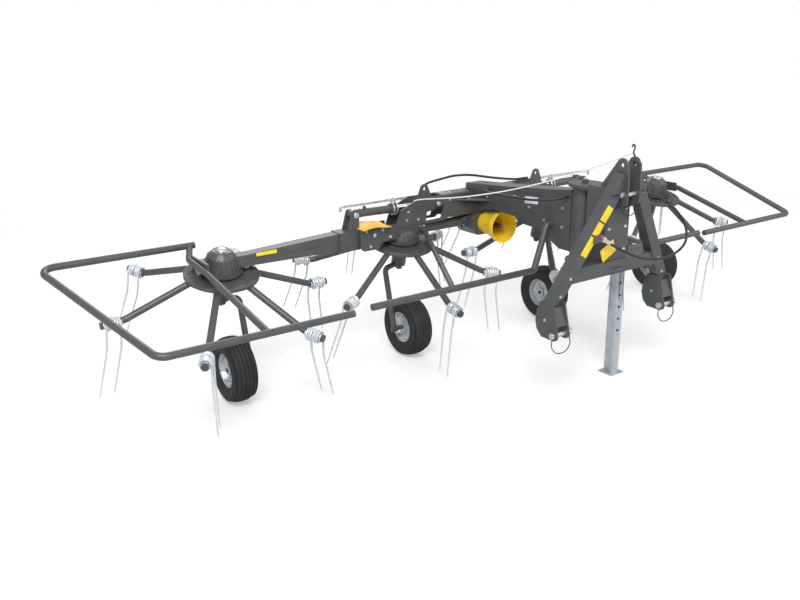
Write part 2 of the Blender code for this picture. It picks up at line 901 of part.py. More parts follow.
def cylinder_direction(side):
    start = Vector((side * wing_lug_x, drive_y, wing_lug_z))
    end = Vector((side * anchor_x, drive_y, anchor_z))
    return start, end, (end - start).normalized()


def make_cylinder(side, barrel_pivot, rod_pivot, hand_name):
    start, end, along = cylinder_direction(side)
    gland = start + along * barrel_length
    eye = bar(start - Vector((0, 0.024, 0)), start + Vector((0, 0.024, 0)), 0.026, 16)
    body = bar(start + along * 0.018, gland, barrel_radius, 16)
    collar = bar(gland - along * 0.035, gland, barrel_radius + 0.006, 16)
    tool = bar(start + along * 0.040, gland + along * 0.010, rod_radius + 0.001, 16)
    pin_hole = bar(start - Vector((0, 0.04, 0)), start + Vector((0, 0.04, 0)), 0.012 + run_gap * 2, 24)
    whole = cut(fuse(eye, body, collar), tool, pin_hole)
    finish(f"fold_cylinder_{hand_name}", whole, barrel_pivot, "paint")
    rod = bar(gland - along * rod_engaged, end - along * 0.015, rod_radius, 16)
    rod_eye = bar(end - Vector((0, 0.022, 0)), end + Vector((0, 0.022, 0)), 0.024, 16)
    finish(f"fold_rod_{hand_name}", fuse(rod, rod_eye), rod_pivot, "chrome")


def make_lock_hook(side, pivot, name):
    """The flat lock bar over the fold cylinder, on its clamp round the barrel's gland."""
    start, end, along = cylinder_direction(side)
    near = start + along * (barrel_length - 0.032)
    far = start + along * (barrel_length - 0.004)
    inner = barrel_radius + 0.006 + touch
    clamp = bar(near, far, inner + 0.007, 16)
    post_top = lock_bar_z[1] - 0.002
    post = spanning((near.x, drive_y - 0.012, near.z + 0.036), (far.x, drive_y + 0.012, post_top))
    hollow = bar(near - along * 0.02, far + along * 0.02, inner, 16)
    outer_x = side * (wing_lug_x + lock_reach[0])
    inner_x = side * (wing_lug_x - lock_reach[1])
    rail_low = (outer_x, drive_y - 0.006, lock_bar_z[0])
    rail = spanning(rail_low, (inner_x, drive_y + 0.006, lock_bar_z[1]))
    tip = spanning(
        (outer_x, drive_y - 0.0055, lock_bar_z[0] - 0.022),
        (outer_x - side * 0.018, drive_y + 0.0055, lock_bar_z[0] + 0.005),
    )
    whole = fuse(cut(fuse(clamp, post), hollow), rail, tip)
    return finish(name, whole, pivot, "galvanised")


# ---------------------------------------------------------------- headstock
def leg_centre(height):
    top, knee = Vector(leg_top), Vector(leg_knee)
    share = (height - knee.z) / (top.z - knee.z)
    return knee.lerp(top, share)


def make_headstock(pivot):
    """The A-frame with its cross-beam, swivel yoke, top-link plates and lower clevises."""
    whole = None
    for side in (-1, 1):
        top = Vector((side * leg_top[0], leg_top[1], leg_top[2]))
        knee = Vector((side * leg_knee[0], leg_knee[1], leg_knee[2]))
        leg = beam_between(top, knee, leg_size, leg_size)
        whole = leg if whole is None else fuse(whole, leg)
        outline = [
            (-1.262, 0.668),
            (-1.162, 0.668),
            (-1.134, 0.600),
            (-1.126, 0.540),
            (-1.140, 0.488),
            (-1.178, 0.452),
        ]
        outline += arc((hitch_y, hitch_z), 0.032, 270, 150, 6)
        for hand in (-1, 1):
            inner = side * hitch_x + hand * clevis_gap / 2
            outer = inner + hand * clevis_plate
            whole = fuse(whole, prism(outline, 0, min(inner, outer), max(inner, outer)))
        cap = spanning(
            (side * hitch_x - clevis_gap / 2 - 0.004, -1.165, 0.615),
            (side * hitch_x + clevis_gap / 2 + 0.004, -1.235, 0.662),
        )
        whole = fuse(whole, cap)
    inner_x = leg_centre(sum(crossbeam_z) / 2).x
    crossbeam = spanning(
        (-inner_x, crossbeam_y - 0.040, crossbeam_z[0]),
        (inner_x, crossbeam_y + 0.040, crossbeam_z[1]),
    )
    post = spanning((-0.100, -1.245, crossbeam_z[0] - 0.002), (0.100, -1.090, head_top + 0.040))
    whole = fuse(whole, crossbeam, post)
    yoke_outline = [(-0.100, -1.120), (0.100, -1.120)] + arc((0, swivel_y), 0.100, 0, 180, 8)
    nose = arc((0, -1.110), 0.160, 180, 360, 10)
    lower = prism(nose + arc((0, swivel_y), 0.100, 0, 180, 8), 2, head_bottom - 0.025, head_bottom - 0.005)
    upper = prism(yoke_outline, 2, head_top + 0.005, head_top + 0.025)
    upright = Matrix.Translation((0, swivel_y, 0))
    pin_profile = [(swivel_pin_radius, head_bottom - 0.045), (swivel_pin_radius, head_top + 0.045)]
    pin = turned(pin_profile, upright, 16)
    whole = fuse(whole, lower, upper, pin)
    for hand in (-1, 1):
        inner = hand * top_plate_gap / 2
        outer = inner + hand * clevis_plate
        outline = [
            (-1.100, 1.180),
            (-1.250, 1.150),
            (-1.350, 1.195),
            (-1.355, 1.300),
            (-1.345, 1.430),
        ]
        outline += arc((top_link_y, top_link_hole_z), 0.040, 200, 20, 6)
        outline += [(-1.150, 1.285)]
        plate = prism(outline, 0, min(inner, outer), max(inner, outer))
        hole_start = (inner - 0.03, top_link_y, top_link_hole_z)
        hole = bar(hole_start, (outer + 0.03, top_link_y, top_link_hole_z), 0.0130, 16)
        pin_y = top_link_y - 0.020
        pin_hole = bar((-0.2, pin_y, top_link_pin_z), (0.2, pin_y, top_link_pin_z), 0.0134, 16)
        whole = fuse(whole, plate)
        whole = cut(whole, hole, pin_hole)
    slot = spanning((-top_plate_gap / 2, -1.420, 1.195), (top_plate_gap / 2, -1.255, 1.500))
    whole = cut(whole, slot)
    for side in (-1, 1):
        hole = bar(
            (side * hitch_x - 0.2, hitch_y, hitch_z),
            (side * hitch_x + 0.2, hitch_y, hitch_z),
            hitch_pin_radius + run_gap * 2,
            16,
        )
        slot = spanning(
            (side * hitch_x - clevis_gap / 2, -1.420, 0.400),
            (side * hitch_x + clevis_gap / 2, -1.160, 0.610),
        )
        web_outline = [(-1.250, 0.640), (-1.292, 0.535), (-1.281, 0.530), (-1.230, 0.632)]
        web = prism(
            web_outline,
            0,
            side * hitch_x - clevis_gap / 2 - clevis_plate / 2,
            side * hitch_x + clevis_gap / 2 + clevis_plate / 2,
        )
        whole = fuse(cut(whole, hole, slot), web)
    half = stand_size / 2 + sleeve_gap
    sleeve = spanning(
        (stand_x - half - sleeve_wall, stand_y - half - sleeve_wall, sleeve_z[0]),
        (stand_x + half + sleeve_wall, stand_y + half + sleeve_wall, sleeve_z[1]),
    )
    bracket = spanning(
        (stand_x - 0.040, crossbeam_y, sleeve_z[0] + 0.020),
        (stand_x + 0.040, stand_y - half - 0.001, sleeve_z[1] - 0.025),
    )
    bore = spanning((stand_x - half, stand_y - half, 0.60), (stand_x + half, stand_y + half, 1.0))
    dock = spanning((-0.245, -1.262, 0.990), (dock_x, -1.300, 1.035))
    whole = fuse(cut(fuse(whole, sleeve, bracket), bore), dock)
    finish("headstock_frame", whole, pivot, "paint")


def make_hitch_pins(pivot):
    for side, name in ((-1, "left"), (1, "right")):
        reach = clevis_gap / 2 + clevis_plate
        pin = bar(
            (side * hitch_x - reach - 0.016, hitch_y, hitch_z),
            (side * hitch_x + reach + 0.040, hitch_y, hitch_z),
            hitch_pin_radius,
            16,
        )
        head = bar(
            (side * hitch_x - reach - 0.016, hitch_y, hitch_z),
            (side * hitch_x - reach - touch, hitch_y, hitch_z),
            hitch_head_radius,
            16,
        )
        finish(f"hitch_pin_{name}", fuse(pin, head), pivot, "galvanised")
    reach = top_plate_gap / 2 + clevis_plate
    pin_y = top_link_y - 0.020
    pin = bar((-reach - 0.020, pin_y, top_link_pin_z), (reach + 0.020, pin_y, top_link_pin_z), 0.0125, 16)
    finish("top_link_pin", pin, pivot, "galvanised")


def make_stand(pivot):
    half = stand_size / 2
    tube = spanning((stand_x - half, stand_y - half, 0.006), (stand_x + half, stand_y + half, stand_top))
    bore = spanning(
        (stand_x - half + stand_wall, stand_y - half + stand_wall, 0.020),
        (stand_x + half - stand_wall, stand_y + half - stand_wall, stand_top + 0.01),
    )
    foot = block((stand_x, stand_y, 0.004), (stand_foot, stand_foot, 0.008))
    return finish("parking_stand", fuse(cut(tube, bore), foot), pivot, "galvanised")


# ---------------------------------------------------------------- hoses and rope
def smooth_route(points, count):
    """Points at even parameter steps on a smooth curve through a few hand-chosen points."""
    route = [Vector(p) for p in points]
    padded = [route[0] * 2 - route[1]] + route + [route[-1] * 2 - route[-2]]
    out = []
    spans = len(route) - 1
    for i in range(count + 1):
        t = i / count * spans
        k = min(int(t), spans - 1)
        u = t - k
        p0, p1, p2, p3 = padded[k:k + 4]
        square = (2 * p0 - 5 * p1 + 4 * p2 - p3) * u * u
        cube = (3 * p1 - p0 - 3 * p2 + p3) * u ** 3
        out.append(0.5 * (2 * p1 + (p2 - p0) * u + square + cube))
    return out


def make_cord(name, points, count, radius, pivot, colour):
    curve = bpy.data.curves.new(name, "CURVE")
    curve.dimensions = "3D"
    curve.bevel_depth = radius
    curve.bevel_resolution = 2
    curve.use_fill_caps = True
    spline = curve.splines.new("POLY")
    route = smooth_route(points, count)
    spline.points.add(len(route) - 1)
    for point, co in zip(spline.points, route):
        point.co = (*co, 1.0)
    made = bpy.data.objects.new(name, curve)
    bpy.context.scene.collection.objects.link(made)
    curve.materials.append(material(f"{colour}.{name}"))
    made.parent = pivot
    made.matrix_parent_inverse = Matrix.Translation(-axle_place(pivot))
    return made


def pin_cord_points(head_x, tail_x, pin_y, pin_z, pin_radius, drop):
    """A short retaining cord that hangs in a U between a pin's two ends."""
    top_z = pin_z - pin_radius - cord_gap
    middle = (head_x + tail_x) / 2
    return [
        (head_x, pin_y, top_z),
        (head_x, pin_y, top_z - drop * 0.20),
        (head_x - 0.003, pin_y - 0.004, top_z - drop * 0.50),
        (head_x + (middle - head_x) * 0.35, pin_y - 0.009, top_z - drop * 0.88),
        (middle, pin_y - 0.010, top_z - drop),
        (tail_x + (middle - tail_x) * 0.35, pin_y - 0.009, top_z - drop * 0.88),
        (tail_x + 0.003, pin_y - 0.004, top_z - drop * 0.50),
        (tail_x, pin_y, top_z - drop * 0.20),
        (tail_x, pin_y, top_z),
    ]


def make_hoses(machine, headstock):
    """The hoses, the pull rope and the pins' retaining cords, on their bodies."""
    make_cord("wing_hose", wing_hose_points, 26, hose_radius, machine, "hose")
    make_cord("neck_hose", neck_hose_points, 26, hose_radius, machine, "hose")
    make_cord("supply_hose", supply_hose_points, 30, hose_radius, headstock, "hose")
    make_cord("pull_rope", pull_rope_points, 16, rope_radius, machine, "rope")
    reach = clevis_gap / 2 + clevis_plate
    for side, name in ((-1, "left"), (1, "right")):
        head_x = side * hitch_x - reach - 0.008
        tail_x = side * hitch_x + reach + 0.030
        points = pin_cord_points(head_x, tail_x, hitch_y, hitch_z, hitch_head_radius, 0.095)
        make_cord(f"pin_cord_{name}", points, 18, pin_cord_radius, headstock, "hose")
    reach = top_plate_gap / 2 + clevis_plate + 0.012
    points = pin_cord_points(-reach, reach, top_link_y - 0.020, top_link_pin_z, 0.0125, 0.110)
    make_cord("pin_cord_top", points, 18, pin_cord_radius, headstock, "hose")
def make_coupler(pivot):
    """The parked hose coupler, from its dock on the leg to the supply hose's end."""
    start = Vector((dock_x + touch, coupler_start[1], coupler_start[2]))
    end = Vector(supply_hose_points[-1])
    along = (end - start).normalized()
    flange = spanning(
        (dock_x + touch, coupler_start[1] - 0.016, coupler_start[2] - 0.016),
        (dock_x + 0.014, coupler_start[1] + 0.016, coupler_start[2] + 0.016),
    )
    body = bar(start + along * 0.010, end - along * 0.002, 0.012, 12)
    collar = bar(start + along * 0.020, start + along * 0.048, 0.017, 12)
    return finish("hose_coupler", fuse(flange, body, collar), pivot, "galvanised")


def make_rope_hook(pivot):
    """The bent wire hook on the top-link plate that holds the pull rope."""
    x, y, z = hook_place
    route = [
        (x, y, z + 0.045),
        (x + 0.008, y, z + 0.066),
        (x + 0.004, y, z + 0.082),
        (x - 0.010, y, z + 0.084),
        (x - 0.016, y, z + 0.072),
    ]
    base = bar((x + 0.0065, y, 1.425), (x + 0.0125, y, 1.425), 0.016, 12)
    stem = [(x + 0.011, y, 1.425), (x + 0.011, y, z + 0.022), (x, y, z + 0.034), (x, y, z + 0.045)]
    hook = fuse(base, swept(stem, hook_wire, 8), swept(route, hook_wire, 8))
    return finish("rope_hook", hook, pivot, "steel")


# ---------------------------------------------------------------- the machine
def build():
    remove_everything()
    machine = empty("machine", (0, 0, 0))
    machine.location = (0, axle_behind_middle, 0)
    bpy.context.view_layer.update()
    make_bridge(machine)
    make_neck(machine)
    make_centre_drive(machine)
    make_pto_guard(machine)
    pto = empty("pto_axis", (0, pto_y, pto_z), machine)
    make_pto_shaft(pto)

    headstock = empty("swivel_axis", (0, swivel_y, head_bottom), machine)
    make_headstock(headstock)
    make_hitch_pins(headstock)
    stand = empty("stand_slide", (stand_x, stand_y, sleeve_z[0]), headstock)
    make_stand(stand)
    make_coupler(headstock)
    make_rope_hook(headstock)
    make_hoses(machine, headstock)

    for side, name in ((-1, "left"), (1, "right")):
        inner = 2 if side < 0 else 3
        outer = 1 if side < 0 else 4
        make_inner_housing(inner, side, machine, f"inner_housing_{name}")
        make_inner_guard(side, machine, f"inner_guard_{name}")
        wing = empty(f"wing_hinge_{name}", (side * hinge_x, drive_y, hinge_z), machine)
        make_boom(side, wing, f"wing_boom_{name}")
        make_outer_housing(outer, side, wing, f"outer_housing_{name}")
        make_outer_guard(side, wing, f"outer_guard_{name}")
        make_cover(side, wing, f"joint_cover_{name}")
        barrel = empty(f"cylinder_pivot_{name}", (side * wing_lug_x, drive_y, wing_lug_z), wing)
        rod = empty(f"rod_slide_{name}", (side * anchor_x, drive_y, anchor_z), barrel)
        make_cylinder(side, barrel, rod, name)
        make_lock_hook(side, barrel, f"lock_hook_{name}")
        for number in (inner, outer):
            carrier = machine if number == inner else wing
            spin, first_angle, leg_side = rotor_table[number]
            rotor_axis = empty(f"rotor_axis_{number}", (rotor_x[number - 1], rotor_y, rotor_z), carrier)
            make_rotor(number, spin, first_angle, rotor_axis)
            where = "inner" if number == inner else "outer"
            make_wheel_leg(number, leg_side, carrier, f"wheel_leg_{where}_{name}")
            wheel_axis = empty(f"wheel_axis_{number}", (rotor_x[number - 1], 0, tyre_radius), carrier)
            make_wheel(number, wheel_axis)


build()
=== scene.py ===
import bpy
import bmesh
import json
from math import cos, pi, radians, sin
from mathutils import Matrix, Vector


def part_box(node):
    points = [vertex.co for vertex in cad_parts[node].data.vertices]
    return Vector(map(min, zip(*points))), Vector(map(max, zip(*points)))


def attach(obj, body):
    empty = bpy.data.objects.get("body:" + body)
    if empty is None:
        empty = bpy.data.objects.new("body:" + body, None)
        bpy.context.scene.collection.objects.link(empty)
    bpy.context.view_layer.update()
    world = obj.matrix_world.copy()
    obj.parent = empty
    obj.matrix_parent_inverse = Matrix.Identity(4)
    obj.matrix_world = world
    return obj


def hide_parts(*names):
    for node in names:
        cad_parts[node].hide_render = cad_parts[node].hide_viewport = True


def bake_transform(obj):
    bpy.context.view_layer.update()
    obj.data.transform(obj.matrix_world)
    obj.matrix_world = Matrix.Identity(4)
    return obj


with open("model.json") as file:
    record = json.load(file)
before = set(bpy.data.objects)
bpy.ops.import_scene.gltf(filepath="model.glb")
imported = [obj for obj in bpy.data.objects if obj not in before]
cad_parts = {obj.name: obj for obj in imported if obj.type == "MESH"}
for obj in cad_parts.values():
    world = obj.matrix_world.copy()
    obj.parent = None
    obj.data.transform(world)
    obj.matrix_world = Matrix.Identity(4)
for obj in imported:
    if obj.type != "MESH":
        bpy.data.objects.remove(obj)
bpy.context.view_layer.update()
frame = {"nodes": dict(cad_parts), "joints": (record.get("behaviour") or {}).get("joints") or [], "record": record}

joints = {joint["name"]: joint for joint in frame["joints"]}

# everything below is drawn with Y = 0 at the wheel axles and moved back by this much
axleShift = joints["wheel_spin_1"]["pos_m"][1]
rotorX = [joints[f"rotor_spin_{n}"]["pos_m"][0] for n in (1, 2, 3, 4)]
rotorY = joints["rotor_spin_1"]["pos_m"][1] - axleShift
rotorZ = joints["rotor_spin_1"]["pos_m"][2]
wheelZ = joints["wheel_spin_1"]["pos_m"][2]
hingeX = joints["wing_fold_right"]["pos_m"][0]
hingeZ = joints["wing_fold_right"]["pos_m"][2]
driveY = joints["wing_fold_right"]["pos_m"][1] - axleShift
lugX, lugZ = joints["cylinder_turn_right"]["pos_m"][0], joints["cylinder_turn_right"]["pos_m"][2]
anchorX, anchorZ = joints["rod_slide_right"]["pos_m"][0], joints["rod_slide_right"]["pos_m"][2]
rotorTilt = radians(12.5)
outerSide = {"left": -1, "right": 1}
carriersOf = {1: "wing_left", 2: "main_frame", 3: "main_frame", 4: "wing_right"}


def show(thing):
    bpy.context.scene.collection.objects.link(thing)


# camera at the three-quarter front view
lens = {"place": (-3.7008, -4.4301, 2.1655), "turn": (71.751, 0.884, -34.296), "length": 36.83}
camera = bpy.data.objects.new("camera", bpy.data.cameras.new("camera"))
show(camera)
camera.location = Vector(lens["place"]) + Vector((0, axleShift, 0))
camera.rotation_euler = [radians(a) for a in lens["turn"]]
camera.data.lens = lens["length"]
camera.data.sensor_width = 36
camera.data.clip_end = 100
bpy.context.scene.camera = camera
print("camera placed")


# shapes, each returned as a bmesh
def skin(bm, rings, closed=False):
    # faces between rings of equal count, with both ends capped unless the rings close on themselves
    for low, high in list(zip(rings, rings[1:])) + ([(rings[-1], rings[0])] if closed else []):
        for i in range(len(low)):
            j = (i + 1) % len(low)
            bm.faces.new((low[i], low[j], high[j], high[i]))
    if not closed:
        bm.faces.new(rings[0])
        bm.faces.new(rings[-1])
    return bm


def lathe(profile, place, sides=48, closed=False):
    bm = bmesh.new()
    rings = []
    for radius, height in profile:
        ring = []
        for i in range(sides):
            a = 2 * pi * i / sides
            ring.append(bm.verts.new(place @ Vector((radius * cos(a), radius * sin(a), height))))
        rings.append(ring)
    return skin(bm, rings, closed)


def pipe(points, radius, sides=16):
    # round bar along a dense route; the radius may be a list with one value a point
    route = [Vector(p) for p in points]
    radii = radius if isinstance(radius, list) else [radius] * len(route)
    bm = bmesh.new()
    rings = []
    along = (route[1] - route[0]).normalized()
    side = along.orthogonal().normalized()
    for i, here in enumerate(route):
        before = (here - route[i - 1]).normalized() if i else along
        after = (route[i + 1] - here).normalized() if i + 1 < len(route) else before
        middle = (before + after).normalized()
        side = (side - middle * side.dot(middle)).normalized()
        across = middle.cross(side)
        ring = []
        for k in range(sides):
            a = 2 * pi * k / sides
            ring.append(bm.verts.new(here + (side * cos(a) + across * sin(a)) * radii[i]))
        rings.append(ring)
    return skin(bm, rings)


def rod(start, end, radius, sides=24, edge=0.0015):
    a, b = Vector(start), Vector(end)
    along = (b - a).normalized()
    return pipe([a, a + along * edge, b - along * edge, b], [radius - edge, radius, radius, radius - edge],
                sides)


def rounded(points, radius, steps=6):
    route = [Vector(p) for p in points]
    out = [route[0]]
    for before, here, after in zip(route, route[1:], route[2:]):
        back, ahead = (before - here).normalized(), (after - here).normalized()
        half = back.angle(ahead) / 2
        reach = radius * cos(half) / sin(half)
        start, end = here + back * reach, here + ahead * reach
        centre = here + (back + ahead).normalized() * (radius / sin(half))
        for i in range(steps + 1):
            out.append(centre + (start.lerp(end, i / steps) - centre).normalized() * radius)
    return out + [route[-1]]


def flowing(points, count):
    route = [Vector(p) for p in points]
    padded = [route[0] * 2 - route[1]] + route + [route[-1] * 2 - route[-2]]
    out = []
    for i in range(count + 1):
        t = i / count * (len(route) - 1)
        k = min(int(t), len(route) - 2)
        u = t - k
        a, b, c, d = padded[k:k + 4]
        out.append(0.5 * (2 * b + (c - a) * u + (2 * a - 5 * b + 4 * c - d) * u * u
                          + (3 * b - a - 3 * c + d) * u ** 3))
    return out


def slab(low, high, edge=0.002):
    bm = bmesh.new()
    bmesh.ops.create_cube(bm, size=1)
    low, high = [min(a, b) for a, b in zip(low, high)], [max(a, b) for a, b in zip(low, high)]
    for v in bm.verts:
        v.co = Vector([low[i] + (v.co[i] + 0.5) * (high[i] - low[i]) for i in range(3)])
    if edge:
        bmesh.ops.bevel(bm, geom=bm.edges[:], offset=edge, segments=2, profile=0.5, affect="EDGES")
    return bm


def bar(start, end, width, depth, corner=0.006, hint=(1, 0, 0)):
    # square-section tube between two points, its width kept along the hint
    a, b = Vector(start), Vector(end)
    along = (b - a).normalized()
    across = (Vector(hint) - along * along.dot(Vector(hint))).normalized()
    normal = along.cross(across)
    outline = []
    for cx, cy, first in ((1, 1, 0), (-1, 1, 90), (-1, -1, 180), (1, -1, 270)):
        for step in range(4):
            t = radians(first + step * 30)
            outline.append((cx * (width / 2 - corner) + corner * cos(t),
                            cy * (depth / 2 - corner) + corner * sin(t)))
    bm = bmesh.new()
    rings = []
    for here in (a, b):
        rings.append([bm.verts.new(here + across * u + normal * v) for u, v in outline])
    return skin(bm, rings)


def ring2d(curve, points):
    spline = curve.splines.new("POLY")
    spline.points.add(len(points) - 1)
    for point, (u, v) in zip(spline.points, points):
        point.co = (u, v, 0, 1)
    spline.use_cyclic_u = True


def circle2d(u, v, radius, sides=20):
    return [(u + radius * cos(2 * pi * i / sides),
             v + radius * sin(2 * pi * i / sides)) for i in range(sides)]


def arc2d(u, v, radius, start, end, steps=8):
    angles = [radians(start + (end - start) * i / steps) for i in range(steps + 1)]
    return [(u + radius * cos(a), v + radius * sin(a)) for a in angles]


planes = {
    "x": Matrix(((0, 0, 1, 0), (1, 0, 0, 0), (0, 1, 0, 0), (0, 0, 0, 1))),
    "y": Matrix(((1, 0, 0, 0), (0, 0, -1, 0), (0, 1, 0, 0), (0, 0, 0, 1))),
    "z": Matrix.Identity(4),
}


def plate(outline, axis, low, high, holes=(), edge=0.0012):
    # flat plate with holes; the outline is in the two other axes, in X, Y, Z order
    curve = bpy.data.curves.new("plate", "CURVE")
    curve.dimensions = "2D"
    curve.fill_mode = "BOTH"
    ring2d(curve, outline)
    for u, v, radius in holes:
        ring2d(curve, circle2d(u, v, radius))
    curve.bevel_depth = edge
    curve.bevel_resolution = 1
    curve.offset = -edge
    curve.extrude = abs(high - low) / 2 - edge
    holder = bpy.data.objects.new("plate", curve)
    mesh = bpy.data.meshes.new_from_object(holder)
    bm = bmesh.new()
    bm.from_mesh(mesh)
    bmesh.ops.remove_doubles(bm, verts=bm.verts, dist=0.00001)
    middle = (low + high) / 2
    shift = {"x": (middle, 0, 0), "y": (0, middle, 0), "z": (0, 0, middle)}[axis]
    bmesh.ops.transform(bm, matrix=Matrix.Translation(shift) @ planes[axis], verts=bm.verts)
    bpy.data.objects.remove(holder)
    bpy.data.curves.remove(curve)
    bpy.data.meshes.remove(mesh)
    return bm


def facing(place, direction):
    turn = Vector((0, 0, 1)).rotation_difference(Vector(direction))
    return Matrix.Translation(place) @ turn.to_matrix().to_4x4()


def bolt(place, direction, size=0.010, shank=0.0):
    # hexagon head on a washer, standing on a face at the place
    at = facing(place, direction)
    head = lathe([(size * 0.55, 0.0015), (size * 0.92, 0.0015), (size * 0.92, 0.006),
                  (size * 0.80, 0.0075)], at, 6)
    washer = lathe([(size * 1.15, 0.0), (size * 1.15, 0.0016)], at, 20)
    shapes = [head, washer]
    if shank:
        shapes.append(lathe([(size * 0.5, 0.005), (size * 0.5, shank), (size * 0.42, shank + 0.0015)], at,
                            14))
    return shapes


def moved(bm, matrix):
    copy = bm.copy()
    bmesh.ops.transform(copy, matrix=matrix, verts=copy.verts)
    return copy


def piece(name, shapes, look, body, stands=(), sharp=35):
    whole = bmesh.new()
    for shape in shapes:
        mesh = bpy.data.meshes.new("shape")
        bmesh.ops.recalc_face_normals(shape, faces=shape.faces)
        shape.to_mesh(mesh)
        shape.free()
        whole.from_mesh(mesh)
        bpy.data.meshes.remove(mesh)
    bmesh.ops.translate(whole, verts=whole.verts, vec=(0, axleShift, 0))
    mesh = bpy.data.meshes.new(name)
    whole.to_mesh(mesh)
    whole.free()
    mesh.shade_smooth()
    mesh.set_sharp_from_angle(angle=radians(sharp))
    made = bpy.data.objects.new(name, mesh)
    show(made)
    made.data.materials.append(looks[look])
    if body:
        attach(made, body)
    if stands:
        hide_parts(*stands)
    return made


def rotorPlace(x, height=0.0):
    tilted = Matrix.Translation((x, rotorY, rotorZ)) @ Matrix.Rotation(rotorTilt, 4, "X")
    return tilted @ Matrix.Translation((0, 0, height))


# finishes
def addNode(nodes, kind, values=()):
    made = nodes.new("ShaderNode" + kind)
    for name, value in dict(values).items():
        made.inputs[name].default_value = value
    return made


def surface(name, colour, roughness, metallic=0.0, other=None, scale=40.0, spread=0.10, bump=0.0,
            bumpScale=400.0,
            cells=False, coat=0.0, dust=None):
    made = bpy.data.materials.new(name)
    made.use_nodes = True
    nodes, links = made.node_tree.nodes, made.node_tree.links
    shader = nodes["Principled BSDF"]
    shader.inputs["Metallic"].default_value = metallic
    shader.inputs["Coat Weight"].default_value = coat
    shader.inputs["Coat Roughness"].default_value = 0.25
    where = nodes.new("ShaderNodeTexCoord")
    if cells:
        pattern = addNode(nodes, "TexVoronoi", {"Scale": scale})
        value = addNode(nodes, "SeparateColor")
        links.new(where.outputs["Object"], pattern.inputs["Vector"])
        links.new(pattern.outputs["Color"], value.inputs["Color"])
        source = value.outputs["Red"]
    else:
        pattern = addNode(nodes, "TexNoise", {"Scale": scale, "Detail": 6})
        links.new(where.outputs["Object"], pattern.inputs["Vector"])
        source = pattern.outputs["Fac"]
    ramp = nodes.new("ShaderNodeValToRGB")
    ramp.color_ramp.elements[0].position = 0.30
    ramp.color_ramp.elements[1].position = 0.72
    second = other or [min(1, c * (1 + spread * 2)) for c in colour]
    ramp.color_ramp.elements[0].color = (*[c * (1 - spread) for c in colour], 1)
    ramp.color_ramp.elements[1].color = (*second, 1)
    links.new(source, ramp.inputs["Fac"])
    paint = ramp.outputs["Color"]
    if dust:
        # dry dirt in patches, from a noise pattern on the object's coordinates
        dirt = addNode(nodes, "TexNoise", {"Scale": dust["scale"], "Detail": 8})
        links.new(where.outputs["Object"], dirt.inputs["Vector"])
        amount = addNode(nodes, "MapRange", {"From Min": 0.45, "From Max": 0.75, "To Max": dust["amount"]})
        links.new(dirt.outputs["Fac"], amount.inputs["Value"])
        mix = nodes.new("ShaderNodeMix")
        mix.data_type = "RGBA"
        mix.inputs["B"].default_value = (*dust["colour"], 1)
        links.new(amount.outputs["Result"], mix.inputs["Factor"])
        links.new(paint, mix.inputs["A"])
        paint = mix.outputs["Result"]
    links.new(paint, shader.inputs["Base Color"])
    swing = 0.10
    rough = addNode(nodes, "MapRange",
                    {"To Min": max(0.03, roughness - swing), "To Max": min(1.0, roughness + swing)})
    links.new(source, rough.inputs["Value"])
    links.new(rough.outputs["Result"], shader.inputs["Roughness"])
    if bump:
        fine = addNode(nodes, "TexNoise", {"Scale": bumpScale, "Detail": 3})
        relief = addNode(nodes, "Bump", {"Strength": bump, "Distance": 0.001})
        links.new(where.outputs["Object"], fine.inputs["Vector"])
        links.new(fine.outputs["Fac"], relief.inputs["Height"])
        links.new(relief.outputs["Normal"], shader.inputs["Normal"])
    return made


